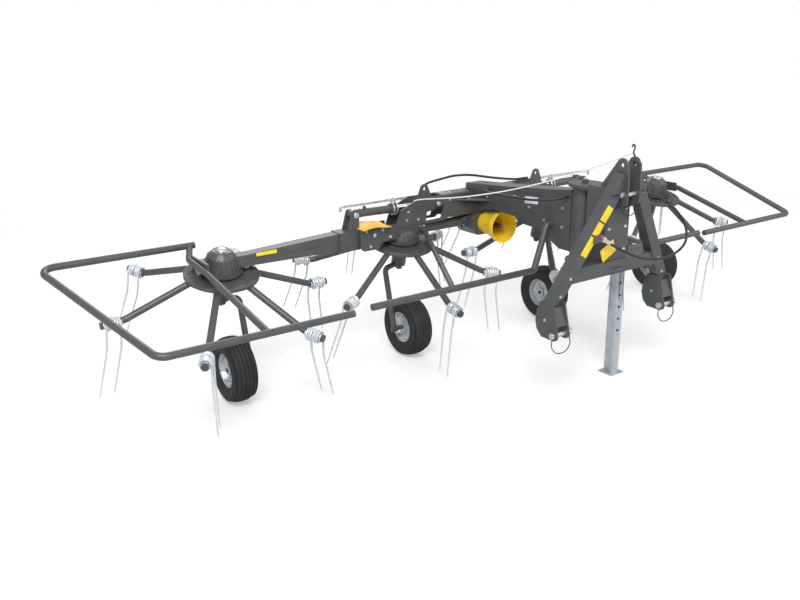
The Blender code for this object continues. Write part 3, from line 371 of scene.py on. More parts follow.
dirtColour = (0.16, 0.14, 0.11)
looks = {
    "paint": surface("frame_paint", (0.058, 0.062, 0.065), 0.42, scale=14, spread=0.08, bump=0.25,
                     bumpScale=520,
                     coat=0.15, dust={"scale": 6, "amount": 0.10, "colour": dirtColour}),
    "galvanised": surface("galvanised", (0.56, 0.60, 0.63), 0.38, metallic=0.8, other=(0.66, 0.70, 0.73),
                          scale=95,
                          cells=True, bump=0.15, bumpScale=260),
    "tine": surface("tine_steel", (0.66, 0.70, 0.75), 0.42, metallic=0.45, other=(0.78, 0.82, 0.86),
                    scale=60,
                    bump=0.12, bumpScale=500),
    "zinc": surface("zinc_plate", (0.55, 0.54, 0.50), 0.32, metallic=0.9, other=(0.68, 0.67, 0.63),
                    scale=120),
    "tyre": surface("tyre_rubber", (0.016, 0.016, 0.017), 0.78, scale=30, spread=0.18, bump=0.5,
                    bumpScale=300,
                    dust={"scale": 9, "amount": 0.22, "colour": (0.09, 0.085, 0.075)}),
    "yellow": surface("yellow_plastic", (0.87, 0.55, 0.020), 0.42, scale=20, spread=0.05, bump=0.2,
                      bumpScale=350,
                      other=(0.93, 0.62, 0.035)),
    "orange": surface("orange_sheet", (0.90, 0.46, 0.015), 0.50, scale=20, spread=0.05, bump=0.2,
                      bumpScale=300,
                      other=(0.94, 0.53, 0.03)),
    "chrome": surface("rod_chrome", (0.74, 0.76, 0.78), 0.16, metallic=1.0, scale=200, spread=0.03),
    "steel": surface("dark_steel", (0.12, 0.12, 0.125), 0.38, metallic=0.85, scale=80, spread=0.15,
                     bump=0.1),
    "hose": surface("hose_rubber", (0.016, 0.016, 0.017), 0.55, scale=60, spread=0.15, bump=0.35,
                    bumpScale=900),
    "rope": surface("rope_cord", (0.70, 0.70, 0.67), 0.85, scale=300, spread=0.15, bump=0.7, bumpScale=700),
    "label": surface("yellow_label", (0.86, 0.60, 0.020), 0.35, scale=12, spread=0.03,
                     other=(0.90, 0.66, 0.03)),
    "tag": surface("pale_tag", (0.66, 0.64, 0.78), 0.30, scale=12, spread=0.03, other=(0.72, 0.70, 0.84)),
    "red": surface("red_cap", (0.62, 0.03, 0.025), 0.40, scale=30, spread=0.06),
    "black": surface("black_plastic", (0.022, 0.022, 0.023), 0.45, scale=40, spread=0.1, bump=0.15),
}
looks["cast"] = surface("cast_iron", (0.070, 0.074, 0.077), 0.46, scale=30, spread=0.12, bump=0.6,
                        bumpScale=420,
                        coat=0.1, dust={"scale": 6, "amount": 0.12, "colour": dirtColour})
looks["smoothZinc"] = surface("zinc_tube", (0.50, 0.56, 0.62), 0.34, metallic=0.75,
                              other=(0.60, 0.66, 0.72), scale=14,
                              bump=0.10, bumpScale=300)
# the slot that each finish belongs to, and the finish that each slot of the frame starts from
slotLooks = {"frame_paint": "paint", "rotor_paint": "paint", "tyre": "tyre", "galvanised": "galvanised",
             "yellow_plastic": "yellow", "orange_sheet": "orange", "rod_chrome": "chrome",
             "shaft_steel": "steel",
             "hose": "hose", "rope": "rope"}
print("finishes made")


# hoses and pin cords, on the routes that the frame holds
hoseTable = {
    "wingHose": {
        "node": "wing_hose", "body": "main_frame", "radius": 0.008, "steps": 26, "length": 1.053,
        "end": "object",
        "stiffness": "stiff",
        "route": [(-0.435, 0.1138, 1.0888), (-0.435, 0.1138, 1.110), (-0.433, 0.113, 1.134),
                  (-0.398, 0.100, 1.163),
                  (-0.290, 0.070, 1.187), (-0.193, 0.061, 1.197), (-0.050, 0.061, 1.186),
                  (0.145, 0.060, 1.147),
                  (0.330, 0.090, 1.113), (0.430, 0.110, 1.0985), (0.480, 0.1138, 1.0967),
                  (0.540, 0.1138, 1.0967)],
    },
    "neckHose": {
        "node": "neck_hose", "body": "main_frame", "radius": 0.008, "steps": 26, "length": 0.887,
        "end": "object",
        "stiffness": "stiff",
        "route": [(-0.0658, -0.170, 1.120), (-0.086, -0.170, 1.120), (-0.116, -0.176, 1.120),
                  (-0.165, -0.300, 1.125),
                  (-0.205, -0.450, 1.140), (-0.225, -0.600, 1.150), (-0.220, -0.740, 1.155),
                  (-0.170, -0.850, 1.165),
                  (-0.110, -0.904, 1.179), (-0.086, -0.905, 1.180), (-0.0658, -0.905, 1.180)],
    },
    "supplyHose": {
        "node": "supply_hose", "body": "headstock", "radius": 0.008, "steps": 30, "length": 1.485,
        "end": "connector",
        "stiffness": "stiff",
        "route": [(0.1008, -1.160, 1.203), (0.170, -1.160, 1.204), (0.250, -1.162, 1.205),
                  (0.370, -1.170, 1.185),
                  (0.500, -1.190, 1.125), (0.590, -1.220, 1.045), (0.625, -1.260, 0.955),
                  (0.575, -1.305, 0.880),
                  (0.450, -1.340, 0.838), (0.300, -1.355, 0.828), (0.150, -1.355, 0.848),
                  (0.030, -1.345, 0.890),
                  (-0.050, -1.325, 0.932), (-0.110, -1.300, 0.968)],
    },
}
hitch = {"x": 0.465, "y": -1.276, "z": 0.482, "gap": 0.080, "plate": 0.012, "headRadius": 0.020,
         "drop": 0.095}
topPin = {"reach": 0.069, "y": -1.320, "z": 1.250, "radius": 0.0125, "drop": 0.110}
cordGap = 0.0006


def pinCordRoute(headX, tailX, y, z, radius, drop):
    top = z - radius - cordGap
    middle = (headX + tailX) / 2
    return [(headX, y, top), (headX, y, top - drop * 0.20), (headX - 0.003, y - 0.004, top - drop * 0.50),
            (headX + (middle - headX) * 0.35, y - 0.009, top - drop * 0.88),
            (middle, y - 0.010, top - drop),
            (tailX + (middle - tailX) * 0.35, y - 0.009, top - drop * 0.88),
            (tailX + 0.003, y - 0.004, top - drop * 0.50),
            (tailX, y, top - drop * 0.20), (tailX, y, top)]


for hand, side in outerSide.items():
    reach = hitch["gap"] / 2 + hitch["plate"]
    hoseTable[f"pinCord_{hand}"] = {
        "node": f"pin_cord_{hand}", "body": "headstock", "radius": 0.003, "steps": 18, "length": 0.285,
        "end": "object",
        "stiffness": "limp",
        "route": pinCordRoute(side * hitch["x"] - reach - 0.008, side * hitch["x"] + reach + 0.030,
                              hitch["y"], hitch["z"],
                              hitch["headRadius"], hitch["drop"]),
    }
hoseTable["pinCord_top"] = {
    "node": "pin_cord_top", "body": "headstock", "radius": 0.003, "steps": 18, "length": 0.307,
    "end": "object",
    "stiffness": "limp",
    "route": pinCordRoute(-topPin["reach"], topPin["reach"], topPin["y"], topPin["z"], topPin["radius"],
                          topPin["drop"]),
}
for name, hose in hoseTable.items():
    curve = bpy.data.curves.new(name, "CURVE")
    curve.dimensions = "3D"
    curve.bevel_depth = hose["radius"]
    curve.bevel_resolution = 4
    curve.use_fill_caps = True
    spline = curve.splines.new("POLY")
    route = [point + Vector((0, axleShift, 0)) for point in flowing(hose["route"], hose["steps"] * 2)]
    spline.points.add(len(route) - 1)
    for point, place in zip(spline.points, route):
        point.co = (*place, 1)
    curve.materials.append(looks["hose"])
    made = bpy.data.objects.new(name, curve)
    show(made)
    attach(made, hose["body"])
    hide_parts(hose["node"])
print("hoses made")


# the frame's own nodes keep their shape, with softened edges and the finishes above
softEdge = {"width": 0.0022, "segments": 2, "angle": 32}
slots = {part["node"]: part["material_slot"] for part in frame["record"]["subparts"]}
for name, node in frame["nodes"].items():
    node.data.materials.clear()
    node.data.materials.append(looks[slotLooks[slots[name]]])
    soften = node.modifiers.new("edges", "BEVEL")
    soften.width = softEdge["width"]
    soften.segments = softEdge["segments"]
    soften.limit_method = "ANGLE"
    soften.angle_limit = radians(softEdge["angle"])
    soften.harden_normals = False
print("frame nodes finished")


# rotors: a dished disc, six arms with their clamps, and sprung tines
rotor = {"disc": 0.225, "armRoot": 0.130, "armBend": 0.590, "armTip": 0.722, "armRadius": 0.0205,
         "coilReach": 0.660,
         "coilDrop": 0.1945, "coilRadius": 0.0335, "wire": 0.0062, "turns": 2.6, "tineDrop": 0.418,
         "splay": 0.085,
         "trail": 0.045}
rotorTable = {1: (-1, 0), 2: (1, 30), 3: (-1, 0), 4: (1, 30)}


def armShapes():
    r = rotor
    drop = r["coilDrop"]
    route = rounded([(r["armRoot"], 0, -0.006), (0.215, 0, -0.032), (r["armBend"], 0, -drop + 0.010),
                     (r["armTip"], 0, -drop)], 0.10, 8)
    shapes = [pipe(route, r["armRadius"], 20)]
    # flattened root with its clamp plate and bolts on the disc
    shapes.append(slab((0.118, -0.030, 0.003), (0.212, 0.030, 0.009), 0.0025))
    for reach in (0.140, 0.190):
        shapes += bolt((reach, 0, 0.009), (0, 0, 1), 0.009)
    # end stop and washer that hold the coils
    shapes.append(lathe([(0.0215, 0.0), (0.0225, 0.002), (0.0225, 0.008), (0.012, 0.010)],
                        facing((r["armTip"] - 0.004, 0, -drop), (1, 0, 0)), 24))
    return shapes


def tineShapes(trail):
    # one wire: leg, coil, bridge, coil, leg; drawn as two pieces of leg and coil, without the bridge
    r = rotor
    drop, radius, wire = r["coilDrop"], r["coilRadius"], r["wire"]
    shapes = []
    for side in (-1, 1):
        outer = r["coilReach"] + side * 0.041
        inner = r["coilReach"] + side * 0.006
        points = []
        start = 0 if trail > 0 else 180
        turns = int(r["turns"] * 16)
        for i in range(turns + 1):
            a = radians(start) + trail * 2 * pi * i / 16
            x = outer + (inner - outer) * i / turns
            points.append(Vector((x, cos(a) * radius, -drop + sin(a) * radius)))
        top = points[0]
        knee = Vector((outer + 0.008, trail * (radius + 0.008), -drop - r["tineDrop"] * 0.33))
        tip = Vector((outer + r["splay"] - 0.010, trail * (radius + r["trail"]), -drop - r["tineDrop"]))
        leg = rounded([tip, knee, top], 0.09, 6)
        route = leg[:-1] + points
        radii = [wire * 0.62, wire] + [wire] * (len(route) - 2)
        shapes.append(pipe(route, radii, 10))
    # pressed holder shell round the arm under the coils, with its bolt and rims
    shell = [(0.0216, -0.052), (0.0262, -0.052), (0.0268, -0.049), (0.0245, -0.045), (0.0245, 0.045),
             (0.0268, 0.049),
             (0.0262, 0.052), (0.0216, 0.052)]
    shapes.append(lathe(shell, facing((r["coilReach"], 0, -drop), (1, 0, 0)), 28, closed=True))
    shapes.append(slab((r["coilReach"] - 0.007, -0.011, -drop + 0.022),
                       (r["coilReach"] + 0.007, 0.011, -drop + 0.042), 0.002))
    shapes += bolt((r["coilReach"], 0, -drop + 0.042), (0, 0, 1), 0.008, 0.009)
    return shapes


for number, (spin, firstAngle) in rotorTable.items():
    place = rotorPlace(rotorX[number - 1])
    disc = [(0.0415, -0.050), (0.070, -0.050), (0.076, -0.046), (0.080, -0.012), (0.090, -0.007),
            (0.214, -0.007),
            (0.2165, -0.016), (0.221, -0.0175), (0.2245, -0.015), (0.2245, 0.002), (0.220, 0.006),
            (0.0415, 0.006)]
    painted = [lathe(disc, place, 72, closed=True)]
    wires = []
    arm, tine = armShapes(), tineShapes(-spin)
    for k in range(6):
        turn = place @ Matrix.Rotation(radians(firstAngle + k * 60), 4, "Z")
        painted += [moved(shape, turn) for shape in arm]
        wires += [moved(shape, turn) for shape in tine]
    piece(f"rotorArms{number}", painted, "paint", f"rotor_{number}", [f"rotor_{number}"])
    piece(f"tines{number}", wires, "tine", f"rotor_{number}")
print("rotors made")


# wheels: ribbed tyre on a dished steel rim
tyre = {"radius": wheelZ, "half": 0.080, "rim": 0.104, "ribs": 5, "groove": 0.007}
for number in (1, 2, 3, 4):
    axis = Matrix.Translation((rotorX[number - 1], 0, wheelZ)) @ Matrix.Rotation(pi / 2, 4, "Y")
    half, radius = tyre["half"], tyre["radius"]
    side = [(0.1055, 0.050), (0.1075, 0.0610), (0.114, 0.0660), (0.124, 0.0685), (0.128, 0.0715),
            (0.140, 0.0765),
            (0.156, 0.0795), (0.170, 0.0795), (0.182, 0.0765), (0.190, 0.0715)]
    crown = []
    count = tyre["ribs"]
    span = 0.062
    for rib in range(count):
        low = span - rib * 2 * span / count
        high = low - 2 * span / count
        inset = 0.0045
        for h, drop in ((low - 0.0005, tyre["groove"]), (low - inset, 0), (high + inset, 0),
                        (high + 0.0005, tyre["groove"])):
            curve = 0.013 * (abs(h) / span) ** 2.6
            crown.append((radius - curve - drop - 0.0002, h))
    profile = side + crown + [(r, -h) for r, h in reversed(side)]
    piece(f"tyreBody{number}", [lathe(profile, axis, 120, closed=True)], "tyre", f"wheel_{number}",
          [f"tyre_{number}"], sharp=50)
    face = [(0.1050, 0.0560), (0.1085, 0.0570), (0.1100, 0.0540), (0.1090, 0.0515), (0.1010, 0.0500),
            (0.0975, 0.0440),
            (0.0960, 0.0300), (0.0900, 0.0180), (0.0780, 0.0125), (0.0560, 0.0120), (0.0440, 0.0160),
            (0.0380, 0.0240),
            (0.0345, 0.0260), (0.0335, 0.0440), (0.0310, 0.0460), (0.0160, 0.0460)]
    shell = face + [(r, -h) for r, h in reversed(face)]
    shapes = [lathe(shell, axis, 72, closed=True)]
    for k in range(5):
        turn = axis @ Matrix.Rotation(2 * pi * k / 5, 4, "Z")
        for hand in (-1, 1):
            spot = turn @ Vector((0.066, 0, hand * 0.0125))
            shapes += bolt(spot, (hand, 0, 0), 0.008, 0.010)
    for hand in (-1, 1):
        tip = axis @ Vector((0.086, 0.012, hand * 0.040))
        foot = axis @ Vector((0.084, 0.010, hand * 0.016))
        shapes.append(rod(foot, tip, 0.004, 12, 0.001))
    piece(f"rimBody{number}", shapes, "galvanised", f"wheel_{number}", [f"rim_{number}"])
print("wheels made")


# wheel legs: rotor column, bent tube and stub axle
leg = {"tube": 0.019, "axle": 0.0149, "column": 0.0398}
legTable = {1: ("outer_left", 1), 2: ("inner_left", -1), 3: ("inner_right", 1), 4: ("outer_right", -1)}
for number, (where, side) in legTable.items():
    x = rotorX[number - 1]
    out = x + side * (0.080 + 0.032)
    foot = rotorPlace(x) @ Vector((0, 0, -0.160))
    column = lathe([(0.020, -0.176), (0.048, -0.174), (0.050, -0.170), (0.050, -0.060), (0.047, -0.057),
                    (leg["column"], -0.056), (leg["column"], 0.0175)], rotorPlace(x), 40)
    route = rounded([(x, foot.y, foot.z), (out, foot.y, foot.z - 0.030), (out, 0, wheelZ - 0.018)], 0.035,
                    10)
    shapes = [column, pipe(route, leg["tube"], 24)]
    shapes.append(rod((out + side * 0.026, 0, wheelZ), (x - side * 0.052, 0, wheelZ), leg["axle"], 24))
    shapes.append(rod((out - side * 0.022, 0, wheelZ), (out + side * 0.021, 0, wheelZ), 0.0215, 24))
    shapes.append(lathe([(0.034, 0.0), (0.034, 0.004), (0.026, 0.007), (0.024, 0.020)],
                        facing((x, foot.y, foot.z - 0.022), (side * 0.5, 0.0, -0.30)), 24))
    piece(f"wheelLeg{number}", shapes, "paint", carriersOf[number], [f"wheel_leg_{where}"])
print("wheel legs made")


# guards: bent round tube
guard = {"radius": 0.0205, "frontY": -0.761, "frontZ": 0.689, "rearY": 0.306, "rearZ": 0.937,
         "frontEnd": 1.531,
         "brace": 2.047, "seat": 2.100, "frontCorner": 2.628, "rearCorner": 2.923}
innerGuard = {"y": -0.783, "z": 0.709, "end": 1.427, "bend": 0.215, "riser": 0.10, "brace": 0.86}
for hand, side in outerSide.items():
    g = guard
    hoop = rounded([(side * g["frontEnd"], g["frontY"], g["frontZ"]),
                    (side * g["frontCorner"], g["frontY"], g["frontZ"]),
                    (side * g["rearCorner"], g["rearY"], g["rearZ"]),
                    (side * (g["brace"] - 0.030), g["rearY"], g["rearZ"])],
                   0.070, 12)
    brace = rounded([(side * g["brace"], g["frontY"], g["frontZ"]), (side * g["seat"], -0.070, 0.862),
                     (side * g["seat"], 0.190, 0.880), (side * g["brace"], g["rearY"], g["rearZ"])], 0.05,
                     8)
    shapes = [pipe(hoop, g["radius"], 24), pipe(brace, g["radius"] - 0.001, 24)]
    piece(f"outerGuard_{hand}", shapes, "paint", f"wing_{hand}", [f"outer_guard_{hand}"])
    g = innerGuard
    front = rounded([(side * g["end"], g["y"], g["z"]), (side * g["bend"], g["y"], g["z"]),
                     (side * g["riser"], g["y"] + 0.020, 0.985), (side * 0.0655, g["y"] + 0.020, 0.985)],
                     0.026, 8)
    brace = rounded([(side * g["brace"], g["y"], g["z"]), (side * 0.530, -0.045, 0.871),
                     (side * 0.530, driveY - 0.0505, 0.871)], 0.04, 8)
    shapes = [pipe(front, guard["radius"], 24), pipe(brace, 0.0175, 24)]
    piece(f"innerGuard_{hand}", shapes, "paint", "main_frame", [f"inner_guard_{hand}"])
print("guards made")


# cast ribs, bolts and cap on each rotor's gear housing
housing = {"base": 0.018, "flange": 0.125, "ribs": 7, "spread": 50, "ribThick": 0.007, "bolts": 8}
housingTop = {1: 0.150, 2: 0.105, 3: 0.105, 4: 0.150}


def ribShape(place, angle, low, high):
    # thin upright web that follows the cone, with a round lower end
    (r0, h0), (r1, h1) = low, high
    half = housing["ribThick"] / 2
    outline = [(r0 - 0.030, h0), (r0 - 0.004, h0), (r0 + 0.003, h0 + 0.004), (r0 + 0.004, h0 + 0.012),
               (r1 + 0.006, h1 - 0.008),
               (r1, h1), (r1 - 0.020, h1)]
    return moved(plate(outline, "y", -half, half, (), 0.0022),
                 place @ Matrix.Rotation(radians(angle), 4, "Z"))


for number in (1, 2, 3, 4):
    place = rotorPlace(rotorX[number - 1])
    top = housingTop[number]
    base = housing["base"] + 0.017
    shapes = []
    for facingAngle in (-90, 90):
        for i in range(housing["ribs"]):
            angle = facingAngle + housing["spread"] * (2 * i / (housing["ribs"] - 1) - 1)
            shapes.append(ribShape(place, angle, (0.110, base), (0.082, top * 0.86)))
    for k in range(housing["bolts"]):
        turned = place @ Matrix.Rotation(radians(22.5 + 45 * k), 4, "Z")
        spot = turned @ Vector((0.1155, 0, housing["base"] + 0.0155))
        up = place.to_3x3() @ Vector((0, 0, 1))
        shapes += bolt(spot, up, 0.0065)
    # raised ring and lid on top of the casting
    shapes.append(lathe([(0.040, top - 0.002), (0.056, top - 0.002), (0.054, top + 0.004),
                         (0.040, top + 0.005)], place, 40))
    body = carriersOf[number]
    piece(f"housingRibs{number}", shapes, "cast", body)
    cap = [lathe([(0.031, top + 0.003), (0.032, top + 0.007), (0.029, top + 0.012), (0.018, top + 0.017),
                  (0.006, top + 0.019)],
                 place, 32)]
    for k in range(6):
        spot = place @ Matrix.Rotation(radians(60 * k), 4, "Z") @ Vector((0.048, 0, top + 0.0035))
        cap += bolt(spot, place.to_3x3() @ Vector((0, 0, 1)), 0.0045)
    piece(f"housingCap{number}", cap, "galvanised", body)
print("housings made")


# fold joint: sheet cover, bracket, bolts on the hinge box, greasers
cover = {"inner": 0.815, "outer": 1.030, "y": (-0.125, 0.095), "z": 0.9490, "rise": 0.012, "thick": 0.003,
         "bend": (0.895, 0.985)}
for hand, side in outerSide.items():
    bm = bmesh.new()
    across, along = 22, 14
    grid = []
    for i in range(across + 1):
        u = i / across
        x = side * (cover["outer"] + (cover["inner"] - cover["outer"]) * u)
        row = []
        for j in range(along + 1):
            v = j / along
            y = driveY + cover["y"][0] + (cover["y"][1] - cover["y"][0]) * v
            ridge = cover["rise"] * sin(pi * min(1, u * 1.25))
            ripple = 0.004 * max(0, u - 0.8) * 5 * sin(2 * pi * v)
            wave = ridge + 0.0025 * sin(pi * v) - ripple
            row.append(bm.verts.new((x, y, cover["z"] + wave)))
        grid.append(row)
    for i in range(across):
        for j in range(along):
            bm.faces.new((grid[i][j], grid[i + 1][j], grid[i + 1][j + 1], grid[i][j + 1]))
    bmesh.ops.recalc_face_normals(bm, faces=bm.faces)
    bmesh.ops.solidify(bm, geom=bm.faces[:], thickness=cover["thick"])
    sheetCover = piece(f"jointCover_{hand}", [bm], "orange", None, [f"joint_cover_{hand}"], sharp=50)
    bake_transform(sheetCover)
    zinc = []
    strip = [(side * 1.034, 0.9405), (side * 0.990, 0.9405), (side * 0.990, 0.9455), (side * 1.034, 0.9455)]
    zinc.append(plate(strip if side > 0 else strip[::-1], "y", driveY - 0.054, driveY + 0.054, (), 0.001))
    for y in (-0.035, 0.0, 0.035):
        zinc += bolt((side * 1.012, driveY + y, 0.9455), (0, 0, 1), 0.007)
    # pin heads and greasers at the hinge, on the wing's own pin
    for end in (-1, 1):
        spot = (side * hingeX, driveY + end * 0.095, hingeZ)
        zinc.append(lathe([(0.0135, 0.0), (0.0135, 0.004), (0.011, 0.0055)], facing(spot, (0, end, 0)), 28))
        zinc.append(lathe([(0.003, 0.005), (0.0045, 0.007), (0.0045, 0.010), (0.002, 0.012)],
                          facing(spot, (0, end, 0)), 12))
        pinEnd = (side * lugX, driveY + end * 0.0505, lugZ)
        zinc.append(lathe([(0.019, 0.0), (0.0195, 0.001), (0.0195, 0.006), (0.018, 0.0075)],
                          facing(pinEnd, (0, end, 0)), 28))
    piece(f"hingeFittings_{hand}", zinc, "galvanised", f"wing_{hand}")
    # bolts on the fixed hinge box
    fixed = []
    hingeBoxHalf = 0.0837
    for x, z in ((0.985, 0.930), (0.860, 0.925), (0.800, 0.870), (0.955, 0.825)):
        for end in (-1, 1):
            fixed += bolt((side * x, driveY + end * hingeBoxHalf, z), (0, end, 0), 0.009)
    for x in (0.505, 0.540, 0.580):
        fixed += bolt((side * x, driveY - 0.0505, 0.897), (0, -1, 0), 0.007)
    piece(f"hingeBolts_{hand}", fixed, "galvanised", "main_frame")
    # welded bead and seam where the boom meets its block
    bead = 0.0035
    seam = [rod((side * 1.165, driveY - 0.0455, 0.934), (side * 1.165, driveY + 0.0455, 0.934), bead, 10,
                0.001)]
    for y in (driveY - 0.0465, driveY + 0.0465):
        seam.append(rod((side * 1.163, y, 0.826), (side * 1.163, y, 0.932), bead, 10, 0.001))
    lift = slab((side * 1.18, driveY - 0.0475, 0.8745), (side * 1.79, driveY - 0.0445, 0.8785), 0.001)
    piece(f"boomSeams_{hand}", seam + [lift], "paint", f"wing_{hand}")
    label = plate([(side * 1.745, 0.8835), (side * 1.610, 0.8835), (side * 1.610, 0.9065),
                   (side * 1.745, 0.9035)], "y",
                  driveY - 0.0466, driveY - 0.0449, (), 0.0004)
    piece(f"boomLabel_{hand}", [label], "label", f"wing_{hand}")
print("fold joints made")


# fold cylinders: gland bracket and flat lock hook
lock = {"barLow": 1.087, "barHigh": 1.105, "outer": 0.095, "inner": 0.430, "half": 0.006,
        "clamp": (0.308, 0.336)}
for hand, side in outerSide.items():
    def at(d):
        # X at a distance from the lug towards the middle
        return side * (lugX - d)

    outline = [(at(-lock["outer"]), 1.065), (at(-lock["outer"] + 0.018), 1.065),
               (at(-lock["outer"] + 0.018), 1.087),
               (at(lock["inner"] - 0.030), lock["barLow"]), (at(lock["inner"]), lock["barLow"] + 0.006),
               (at(lock["inner"]), lock["barHigh"]), (at(-lock["outer"] + 0.012), lock["barHigh"]),
               (at(-lock["outer"]), lock["barHigh"] - 0.008)]
    hookPlate = plate(outline if side < 0 else outline[::-1], "y", driveY - lock["half"] + 0.0004,
                      driveY + lock["half"] - 0.0004,
                      [(at(lock["inner"] - 0.014), 1.096, 0.0045)], 0.0012)
    shapes = [hookPlate]
    slope = (lugZ - anchorZ) / (lugX - anchorX)
    for d in lock["clamp"]:
        centre = (at(d), driveY, lugZ - slope * d)
        ring = [(0.0339, -0.004), (0.0405, -0.004), (0.0412, -0.003), (0.0412, 0.003), (0.0405, 0.004),
                (0.0339, 0.004)]
        shapes.append(lathe(ring, facing(centre, (1, 0, 0)), 40, closed=True))
    bracket = [(driveY - 0.0118, 1.073), (driveY + 0.0118, 1.073)] + arc2d(driveY, 1.092, 0.0118, 0, 180)
    for d in reversed(lock["clamp"]):
        shapes.append(plate(bracket, "x", at(d) - 0.003, at(d) + 0.003, (), 0.0008))
    shapes += bolt((at(0.322), driveY, 1.105), (0, 0, 1), 0.006)
    piece(f"lockHook_{hand}", shapes, "galvanised", f"fold_cylinder_{hand}", [f"lock_hook_{hand}"])
    # hose port, gland nut and end ring on the barrel
    port = []
    for d, radius in ((0.060, 0.0283), (0.296, 0.0345)):
        centre = (at(d), driveY, lugZ - slope * d)
        port.append(lathe([(0.0268, -0.006), (radius, -0.006), (radius + 0.001, -0.004),
                           (radius + 0.001, 0.004), (radius, 0.006),
                           (0.0268, 0.006)], facing(centre, (1, 0, 0)), 40, closed=True))
    spot = (at(0.085), driveY - 0.012, lugZ + 0.022)
    port.append(lathe([(0.009, 0.0), (0.009, 0.012), (0.012, 0.013), (0.012, 0.021), (0.010, 0.022)],
                      facing(spot, (0, -0.35, 1)), 20))
    piece(f"cylinderFittings_{hand}", port, "paint", f"fold_cylinder_{hand}")
print("fold cylinders made")


# bridge: pin bosses, lid plate with its bolts, gusset on the neck, plate on the neck's side
bridgeZinc, bridgePaint = [], []
bridgeHalf = 0.065
front = driveY - bridgeHalf
for side in (-1, 1):
    for hand in (-1, 1):
        spot = (side * anchorX, driveY + hand * 0.075, anchorZ + 0.010)
        bridgeZinc.append(lathe([(0.0150, 0.0), (0.0155, 0.001), (0.0155, 0.009), (0.0140, 0.0105)],
                                facing(spot, (0, hand, 0)), 28))
        for x, z in ((0.640, 1.010), (0.655, 0.955), (0.560, 0.950)):
            bridgeZinc += bolt((side * x, driveY + hand * bridgeHalf, z), (0, hand, 0), 0.008)
        for x in (0.120, 0.200, 0.290):
            bridgeZinc += bolt((side * x, driveY + hand * bridgeHalf, 1.050), (0, hand, 0), 0.007)
    for x in (0.150, 0.250, 0.330):
        bridgeZinc += bolt((side * x, driveY, 1.0865), (0, 0, 1), 0.008)
    lid = [(side * 0.085, front + 0.008), (side * 0.345, front + 0.012), (side * 0.345, front + 0.118),
           (side * 0.085, front + 0.122)]
    bridgePaint.append(plate(lid if side > 0 else lid[::-1], "z", 1.0862, 1.0905, (), 0.0010))
    # gusset between the neck's side and the beam's front plate
    gusset = [(side * 0.0655, front - 0.001), (side * 0.250, front - 0.001), (side * 0.0655, front - 0.170)]
    bridgePaint.append(plate(gusset if side < 0 else gusset[::-1], "z", 1.040, 1.050, (), 0.0010))
for x, z in ((0.150, 1.050), (-0.150, 1.050)):
    bridgeZinc += bolt((x, front - 0.030, z), (0, 0, 1), 0.008)
piece("bridgePlates", bridgePaint, "paint", "main_frame")
piece("bridgeBolts", bridgeZinc, "galvanised", "main_frame")
neckBolts = []
for side in (-1, 1):
    for y, z in ((-0.860, 0.980), (-0.860, 1.100), (-0.700, 1.000), (-0.560, 1.060), (-0.420, 1.110),
                 (-0.140, 1.060)):
        neckBolts += bolt((side * 0.0652, y, z), (side, 0, 0), 0.009)
piece("neckBolts", neckBolts, "galvanised", "main_frame")
sign = plate([(-0.640, 1.090), (-0.520, 1.080), (-0.520, 1.125), (-0.640, 1.135)], "x", -0.0670, -0.0652,
             (), 0.0004)
piece("neckPlate", [sign], "tag", "main_frame")


# gearbox: bolts on the cover and round the drive tubes, splined input shaft, and lip with clips on the cone
gearbox = []
for k in range(8):
    a = 2 * pi * k / 8
    gearbox += bolt((0.060 * cos(a), -0.0503, 0.860 + 0.060 * sin(a)), (0, -1, 0), 0.006)
for side in (-1, 1):
    for k in range(6):
        a = 2 * pi * (k + 0.5) / 6
        for x in (0.1465, 0.4935):
            direction = (side, 0, 0) if x < 0.3 else (-side, 0, 0)
            gearbox += bolt((side * x, driveY + 0.0445 * cos(a),
                             joints["pto_spin"]["pos_m"][2] + 0.011 + 0.0445 * sin(a)), direction, 0.0055)
piece("gearboxBolts", gearbox, "galvanised", "main_frame")
shaft = {"y": -0.050, "z": joints["pto_spin"]["pos_m"][2], "radius": 0.0172, "root": 0.0150, "teeth": 6,
         "end": -0.2245}
teeth = []
for k in range(shaft["teeth"]):
    for step, r in ((0.0, shaft["root"]), (0.24, shaft["root"]), (0.30, shaft["radius"]),
                    (0.62, shaft["radius"]), (0.70, shaft["root"])):
        a = -2 * pi * (k + step) / shaft["teeth"]
        teeth.append((r * cos(a), shaft["z"] + r * sin(a)))
spline = plate(teeth, "y", shaft["end"], shaft["end"] + 0.085, (), 0.0010)
collar = lathe([(0.012, -0.028), (0.0172, -0.028), (0.0172, 0.028), (0.0268, 0.030),
                (0.0268, 0.018 + 0.052), (0.0172, 0.072),
              (0.0172, 0.092), (0.0140, 0.094), (0.0140, 0.096)],
              facing((0, shaft["y"], shaft["z"]), (0, -1, 0)), 40)
piece("inputShaft", [spline, collar], "steel", "pto_shaft", ["pto_shaft"])
lip = lathe([(0.1075, 0.0), (0.1118, 0.0), (0.1118, 0.003), (0.1100, 0.005), (0.1075, 0.005)],
            facing((0, -0.2505, shaft["z"]), (0, 1, 0)), 64, closed=True)
clips = [slab((-0.014, -0.243, shaft["z"] + 0.1095), (0.014, -0.221, shaft["z"] + 0.1135), 0.001)]
piece("guardLip", [lip] + clips, "yellow", "main_frame")
print("drive made")


# tower: labels down the left leg, bolts, hitch pins, top-link pin, linch pins
legEnds = {"top": (0.045, -1.300, 1.360), "knee": (0.490, -1.200, 0.620), "size": 0.070}


legNormal = (0, -0.991, -0.134)


def legPoint(side, height, forward):
    top, knee = Vector(legEnds["top"]), Vector(legEnds["knee"])
    spot = knee.lerp(top, (height - knee.z) / (top.z - knee.z))
    spot.x *= side
    return spot + Vector(legNormal) * forward


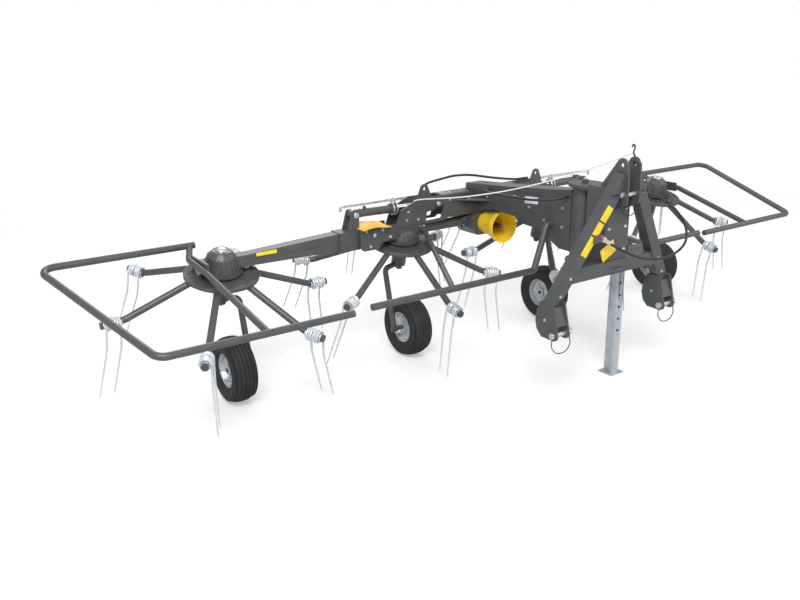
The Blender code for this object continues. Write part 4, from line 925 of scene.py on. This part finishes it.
labelRows = {"first": (1.198, 1.118), "second": (1.108, 1.040), "third": (1.030, 0.925)}
for name, (high, low) in labelRows.items():
    strip = bar(legPoint(-1, high, 0.0358), legPoint(-1, low, 0.0358), 0.056, 0.0012, 0.0003)
    piece(f"legLabel_{name}", [strip], "label", "headstock")
towerBolts = []
for side in (-1, 1):
    for height in (0.700, 0.800):
        towerBolts += bolt(legPoint(side, height, 0.0352), legNormal, 0.008)
    reach = hitch["gap"] / 2 + hitch["plate"]
    for hand in (-1, 1):
        spot = (side * hitch["x"] + hand * (reach + 0.0005), -1.205, 0.560)
        towerBolts += bolt(spot, (hand, 0, 0), 0.008)
for x in (-0.070, 0.070):
    for z in (0.900, 1.040, 1.150):
        towerBolts += bolt((x, -1.2452, z), (0, -1, 0), 0.009)
piece("towerBolts", towerBolts, "galvanised", "headstock")


def linchPin(spot, direction):
    # clip ring that stands over the pin's end
    across = Vector((0, 0, 1))
    out = Vector(direction)
    centre = Vector(spot) + across * 0.012
    points = []
    for i in range(25):
        a = 2 * pi * i / 24
        points.append(centre + (out * cos(a) * 0.55 + Vector((0, 1, 0)) * sin(a)) * 0.019
                      + across * (0.003 * cos(a)))
    return [pipe(points, 0.0018, 8),
            rod(centre - across * 0.034, centre + across * 0.006, 0.0035, 12, 0.0008)]


pins = []
for side in (-1, 1):
    reach = hitch["gap"] / 2 + hitch["plate"]
    x0, x1 = side * hitch["x"] - reach, side * hitch["x"] + reach
    pins.append(rod((x0 - 0.001, hitch["y"], hitch["z"]), (x1 + 0.040, hitch["y"], hitch["z"]), 0.0139, 32,
                    0.002))
    pins.append(lathe([(0.012, 0.0), (0.0190, 0.0), (0.0199, 0.002), (0.0199, 0.013), (0.0185, 0.0155),
                       (0.006, 0.0157)],
                      facing((x0 - 0.0004, hitch["y"], hitch["z"]), (-1, 0, 0)), 32))
    pins += linchPin((x1 + 0.026, hitch["y"], hitch["z"] + 0.006), (1, 0, 0))
piece("hitchPins", pins, "galvanised", "headstock", ["hitch_pin_left", "hitch_pin_right"])
topShapes = [rod((-0.0765, topPin["y"], topPin["z"]), (0.0765, topPin["y"], topPin["z"]), 0.0124, 32,
                 0.002)]
topShapes += linchPin((-0.0660, topPin["y"], topPin["z"] + 0.004), (-1, 0, 0))
topShapes.append(lathe([(0.0125, 0.0), (0.0185, 0.0), (0.0185, 0.004), (0.0125, 0.004)],
                       facing((0.0585, topPin["y"], topPin["z"]), (1, 0, 0)), 32, closed=True))
piece("topLinkPin", topShapes, "galvanised", "headstock", ["top_link_pin"])
print("tower fittings made")


# parked coupler with its red cap, blank tag, and the pull rope on its hook
start, finishPoint = Vector((-0.186, -1.280, 1.018)), Vector((-0.110, -1.300, 0.968))
along = (finishPoint - start).normalized()
place = facing(start, along)
couplerProfile = [(0.009, 0.012), (0.0118, 0.013), (0.0118, 0.020), (0.0166, 0.022), (0.0168, 0.030),
                  (0.0155, 0.032),
                  (0.0168, 0.034), (0.0168, 0.046), (0.0150, 0.049), (0.0115, 0.051), (0.0115, 0.062),
                  (0.0128, 0.064),
                  (0.0128, 0.086), (0.0090, 0.0905)]
coupler = [lathe(couplerProfile, place, 32)]
coupler.append(slab((-0.1856, -1.296, 1.002), (-0.1790, -1.264, 1.034), 0.001))
piece("hoseCoupler", coupler, "galvanised", "headstock", ["hose_coupler"])
cap = lathe([(0.0118, 0.0135), (0.0182, 0.0135), (0.0186, 0.015), (0.0186, 0.021), (0.0172, 0.0225),
             (0.0118, 0.0225)], place, 32, closed=True)
piece("couplerCap", [cap], "red", "headstock")
tagPlace = Matrix.Translation((-0.085, -1.262, 0.915)) @ Matrix.Rotation(radians(-28), 4, "Y")
tagPlace = tagPlace @ Matrix.Rotation(radians(8), 4, "X")
tagOutline = [(-0.060, -0.045), (0.060, -0.045), (0.060, 0.045), (-0.060, 0.045)]
tag = moved(plate(tagOutline, "y", -0.0008, 0.0008, [(-0.050, 0.036, 0.004)], 0.0004), tagPlace)
piece("parkingTag", [tag], "label", "headstock")
ropeRoute = [(-0.590, -0.0062, 1.0801), (-0.560, -0.080, 1.098), (-0.440, -0.325, 1.135),
             (-0.300, -0.600, 1.200),
             (-0.160, -0.870, 1.290), (-0.050, -1.085, 1.380), (0.0450, -1.272, 1.475)]
piece("pullRope", [pipe(flowing(ropeRoute, 64), 0.0040, 12)], "rope", "main_frame", ["pull_rope"])
hook = {"x": 0.0510, "y": -1.285, "z": 1.440, "wire": 0.0048}
x, y, z = hook["x"], hook["y"], hook["z"]
hookRoute = [(x + 0.011, y, 1.425), (x + 0.011, y, z + 0.022), (x, y, z + 0.034), (x, y, z + 0.045),
             (x + 0.008, y, z + 0.066),
             (x + 0.004, y, z + 0.082), (x - 0.010, y, z + 0.084), (x - 0.016, y, z + 0.072)]
hookShapes = [pipe(flowing(hookRoute, 56), hook["wire"], 16)]
hookShapes.append(lathe([(0.0155, 0.0), (0.016, 0.001), (0.016, 0.005), (0.0145, 0.006)],
                        facing((x + 0.0065, y, 1.425), (1, 0, 0)), 28))
hookShapes += bolt((x + 0.0125, y, 1.425), (1, 0, 0), 0.007)
piece("ropeHook", hookShapes, "black", "headstock", ["rope_hook"])
print("rope and coupler made")


# parking stand: square tube with holes, foot and lock pin
stand = {"x": 0.236, "y": -1.070, "half": 0.032, "top": 0.930, "wall": 0.004}
sx, sy, half = stand["x"], stand["y"], stand["half"]
standShapes = []
holes = [0.300, 0.380, 0.460, 0.540, 0.620]
inner = half - stand["wall"]
outlineY = [(sx - half, 0.006), (sx + half, 0.006), (sx + half, stand["top"]), (sx - half, stand["top"])]
for y in (-half, inner):
    standShapes.append(plate(outlineY, "y", sy + y, sy + y + stand["wall"],
                             [(sx, h, 0.0095) for h in holes], 0.0012))
outlineX = [(sy - inner, 0.006), (sy + inner, 0.006), (sy + inner, stand["top"]),
            (sy - inner, stand["top"])]
for x in (-half, inner):
    standShapes.append(plate(outlineX, "x", sx + x, sx + x + stand["wall"], (), 0.0008))
footLow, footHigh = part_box("parking_stand")
reach = (footHigh[0] - footLow[0]) / 2
foot = [(sx - reach, sy - reach), (sx + reach, sy - reach), (sx + reach, sy + reach),
        (sx - reach, sy + reach)]
standShapes.append(plate(foot, "z", 0.0, 0.0078, (), 0.0015))
piece("parkingStand", standShapes, "smoothZinc", "stand", ["parking_stand"])
lockPin = [rod((sx - 0.075, sy, 0.822), (sx + 0.062, sy, 0.822), 0.007, 20, 0.001)]
lockPin += linchPin((sx + 0.052, sy, 0.824), (1, 0, 0))
piece("standLockPin", lockPin, "galvanised", "headstock")
print("stand made")


# floor, backdrop and light
floorMesh = bpy.data.meshes.new("floor")
reach, under = 40, -0.0015
corners = [(-reach, -reach, under), (reach, -reach, under), (reach, reach, under), (-reach, reach, under)]
floorMesh.from_pydata(corners, [], [(0, 1, 2, 3)])
floor = bpy.data.objects.new("floor", floorMesh)
show(floor)
ground = bpy.data.materials.new("floor")
ground.use_nodes = True
nodes, links = ground.node_tree.nodes, ground.node_tree.links
nodes.clear()
output = addNode(nodes, "OutputMaterial")
matte = addNode(nodes, "BsdfDiffuse", {"Color": (0.62, 0.62, 0.62, 1)})
glow = addNode(nodes, "Emission")
path = addNode(nodes, "LightPath")
lift = addNode(nodes, "Math")
lift.operation = "MULTIPLY"
lift.inputs[1].default_value = 0.36
both = addNode(nodes, "AddShader")
where = addNode(nodes, "TexCoord")
far = addNode(nodes, "VectorMath")
far.operation = "LENGTH"
fade = addNode(nodes, "MapRange", {"From Min": 3.4, "From Max": 7.5})
fade.interpolation_type = "SMOOTHSTEP"
white = addNode(nodes, "Emission")
blend = addNode(nodes, "MixShader")
for source, target in (
    (where.outputs["Object"], far.inputs[0]),
    (far.outputs["Value"], fade.inputs["Value"]),
    (fade.outputs["Result"], blend.inputs["Fac"]),
    (path.outputs["Is Camera Ray"], lift.inputs[0]),
    (lift.outputs["Value"], glow.inputs["Strength"]),
    (matte.outputs["BSDF"], both.inputs[0]),
    (glow.outputs["Emission"], both.inputs[1]),
    (both.outputs["Shader"], blend.inputs[1]),
    (white.outputs["Emission"], blend.inputs[2]),
    (blend.outputs["Shader"], output.inputs["Surface"]),
):
    links.new(source, target)
floor.data.materials.append(ground)

world = bpy.data.worlds.new("studio")
bpy.context.scene.world = world
world.use_nodes = True
background = world.node_tree.nodes["Background"]
background.inputs["Color"].default_value = (1, 1, 1, 1)
background.inputs["Strength"].default_value = 0.55
worldPath = world.node_tree.nodes.new("ShaderNodeLightPath")
worldMix = world.node_tree.nodes.new("ShaderNodeMapRange")
worldMix.inputs["To Min"].default_value = 0.55
worldMix.inputs["To Max"].default_value = 1.0
world.node_tree.links.new(worldPath.outputs["Is Camera Ray"], worldMix.inputs["Value"])
world.node_tree.links.new(worldMix.outputs["Result"], background.inputs["Strength"])

lamps = {
    "key": {"place": (-4.5, -5.0, 6.5), "size": 4.0, "power": 620},
    "fill": {"place": (5.5, -4.0, 4.5), "size": 5.0, "power": 160},
    "rim": {"place": (1.5, 6.0, 5.5), "size": 5.0, "power": 220},
}
for name, lamp in lamps.items():
    light = bpy.data.lights.new(name, "AREA")
    light.size = lamp["size"]
    light.energy = lamp["power"]
    holder = bpy.data.objects.new(name, light)
    show(holder)
    holder.location = lamp["place"]
    aim = Vector((0, 0, 0.6)) - Vector(lamp["place"])
    holder.rotation_euler = aim.to_track_quat("-Z", "Y").to_euler()
bpy.context.scene.view_settings.view_transform = "Standard"
print("studio made")
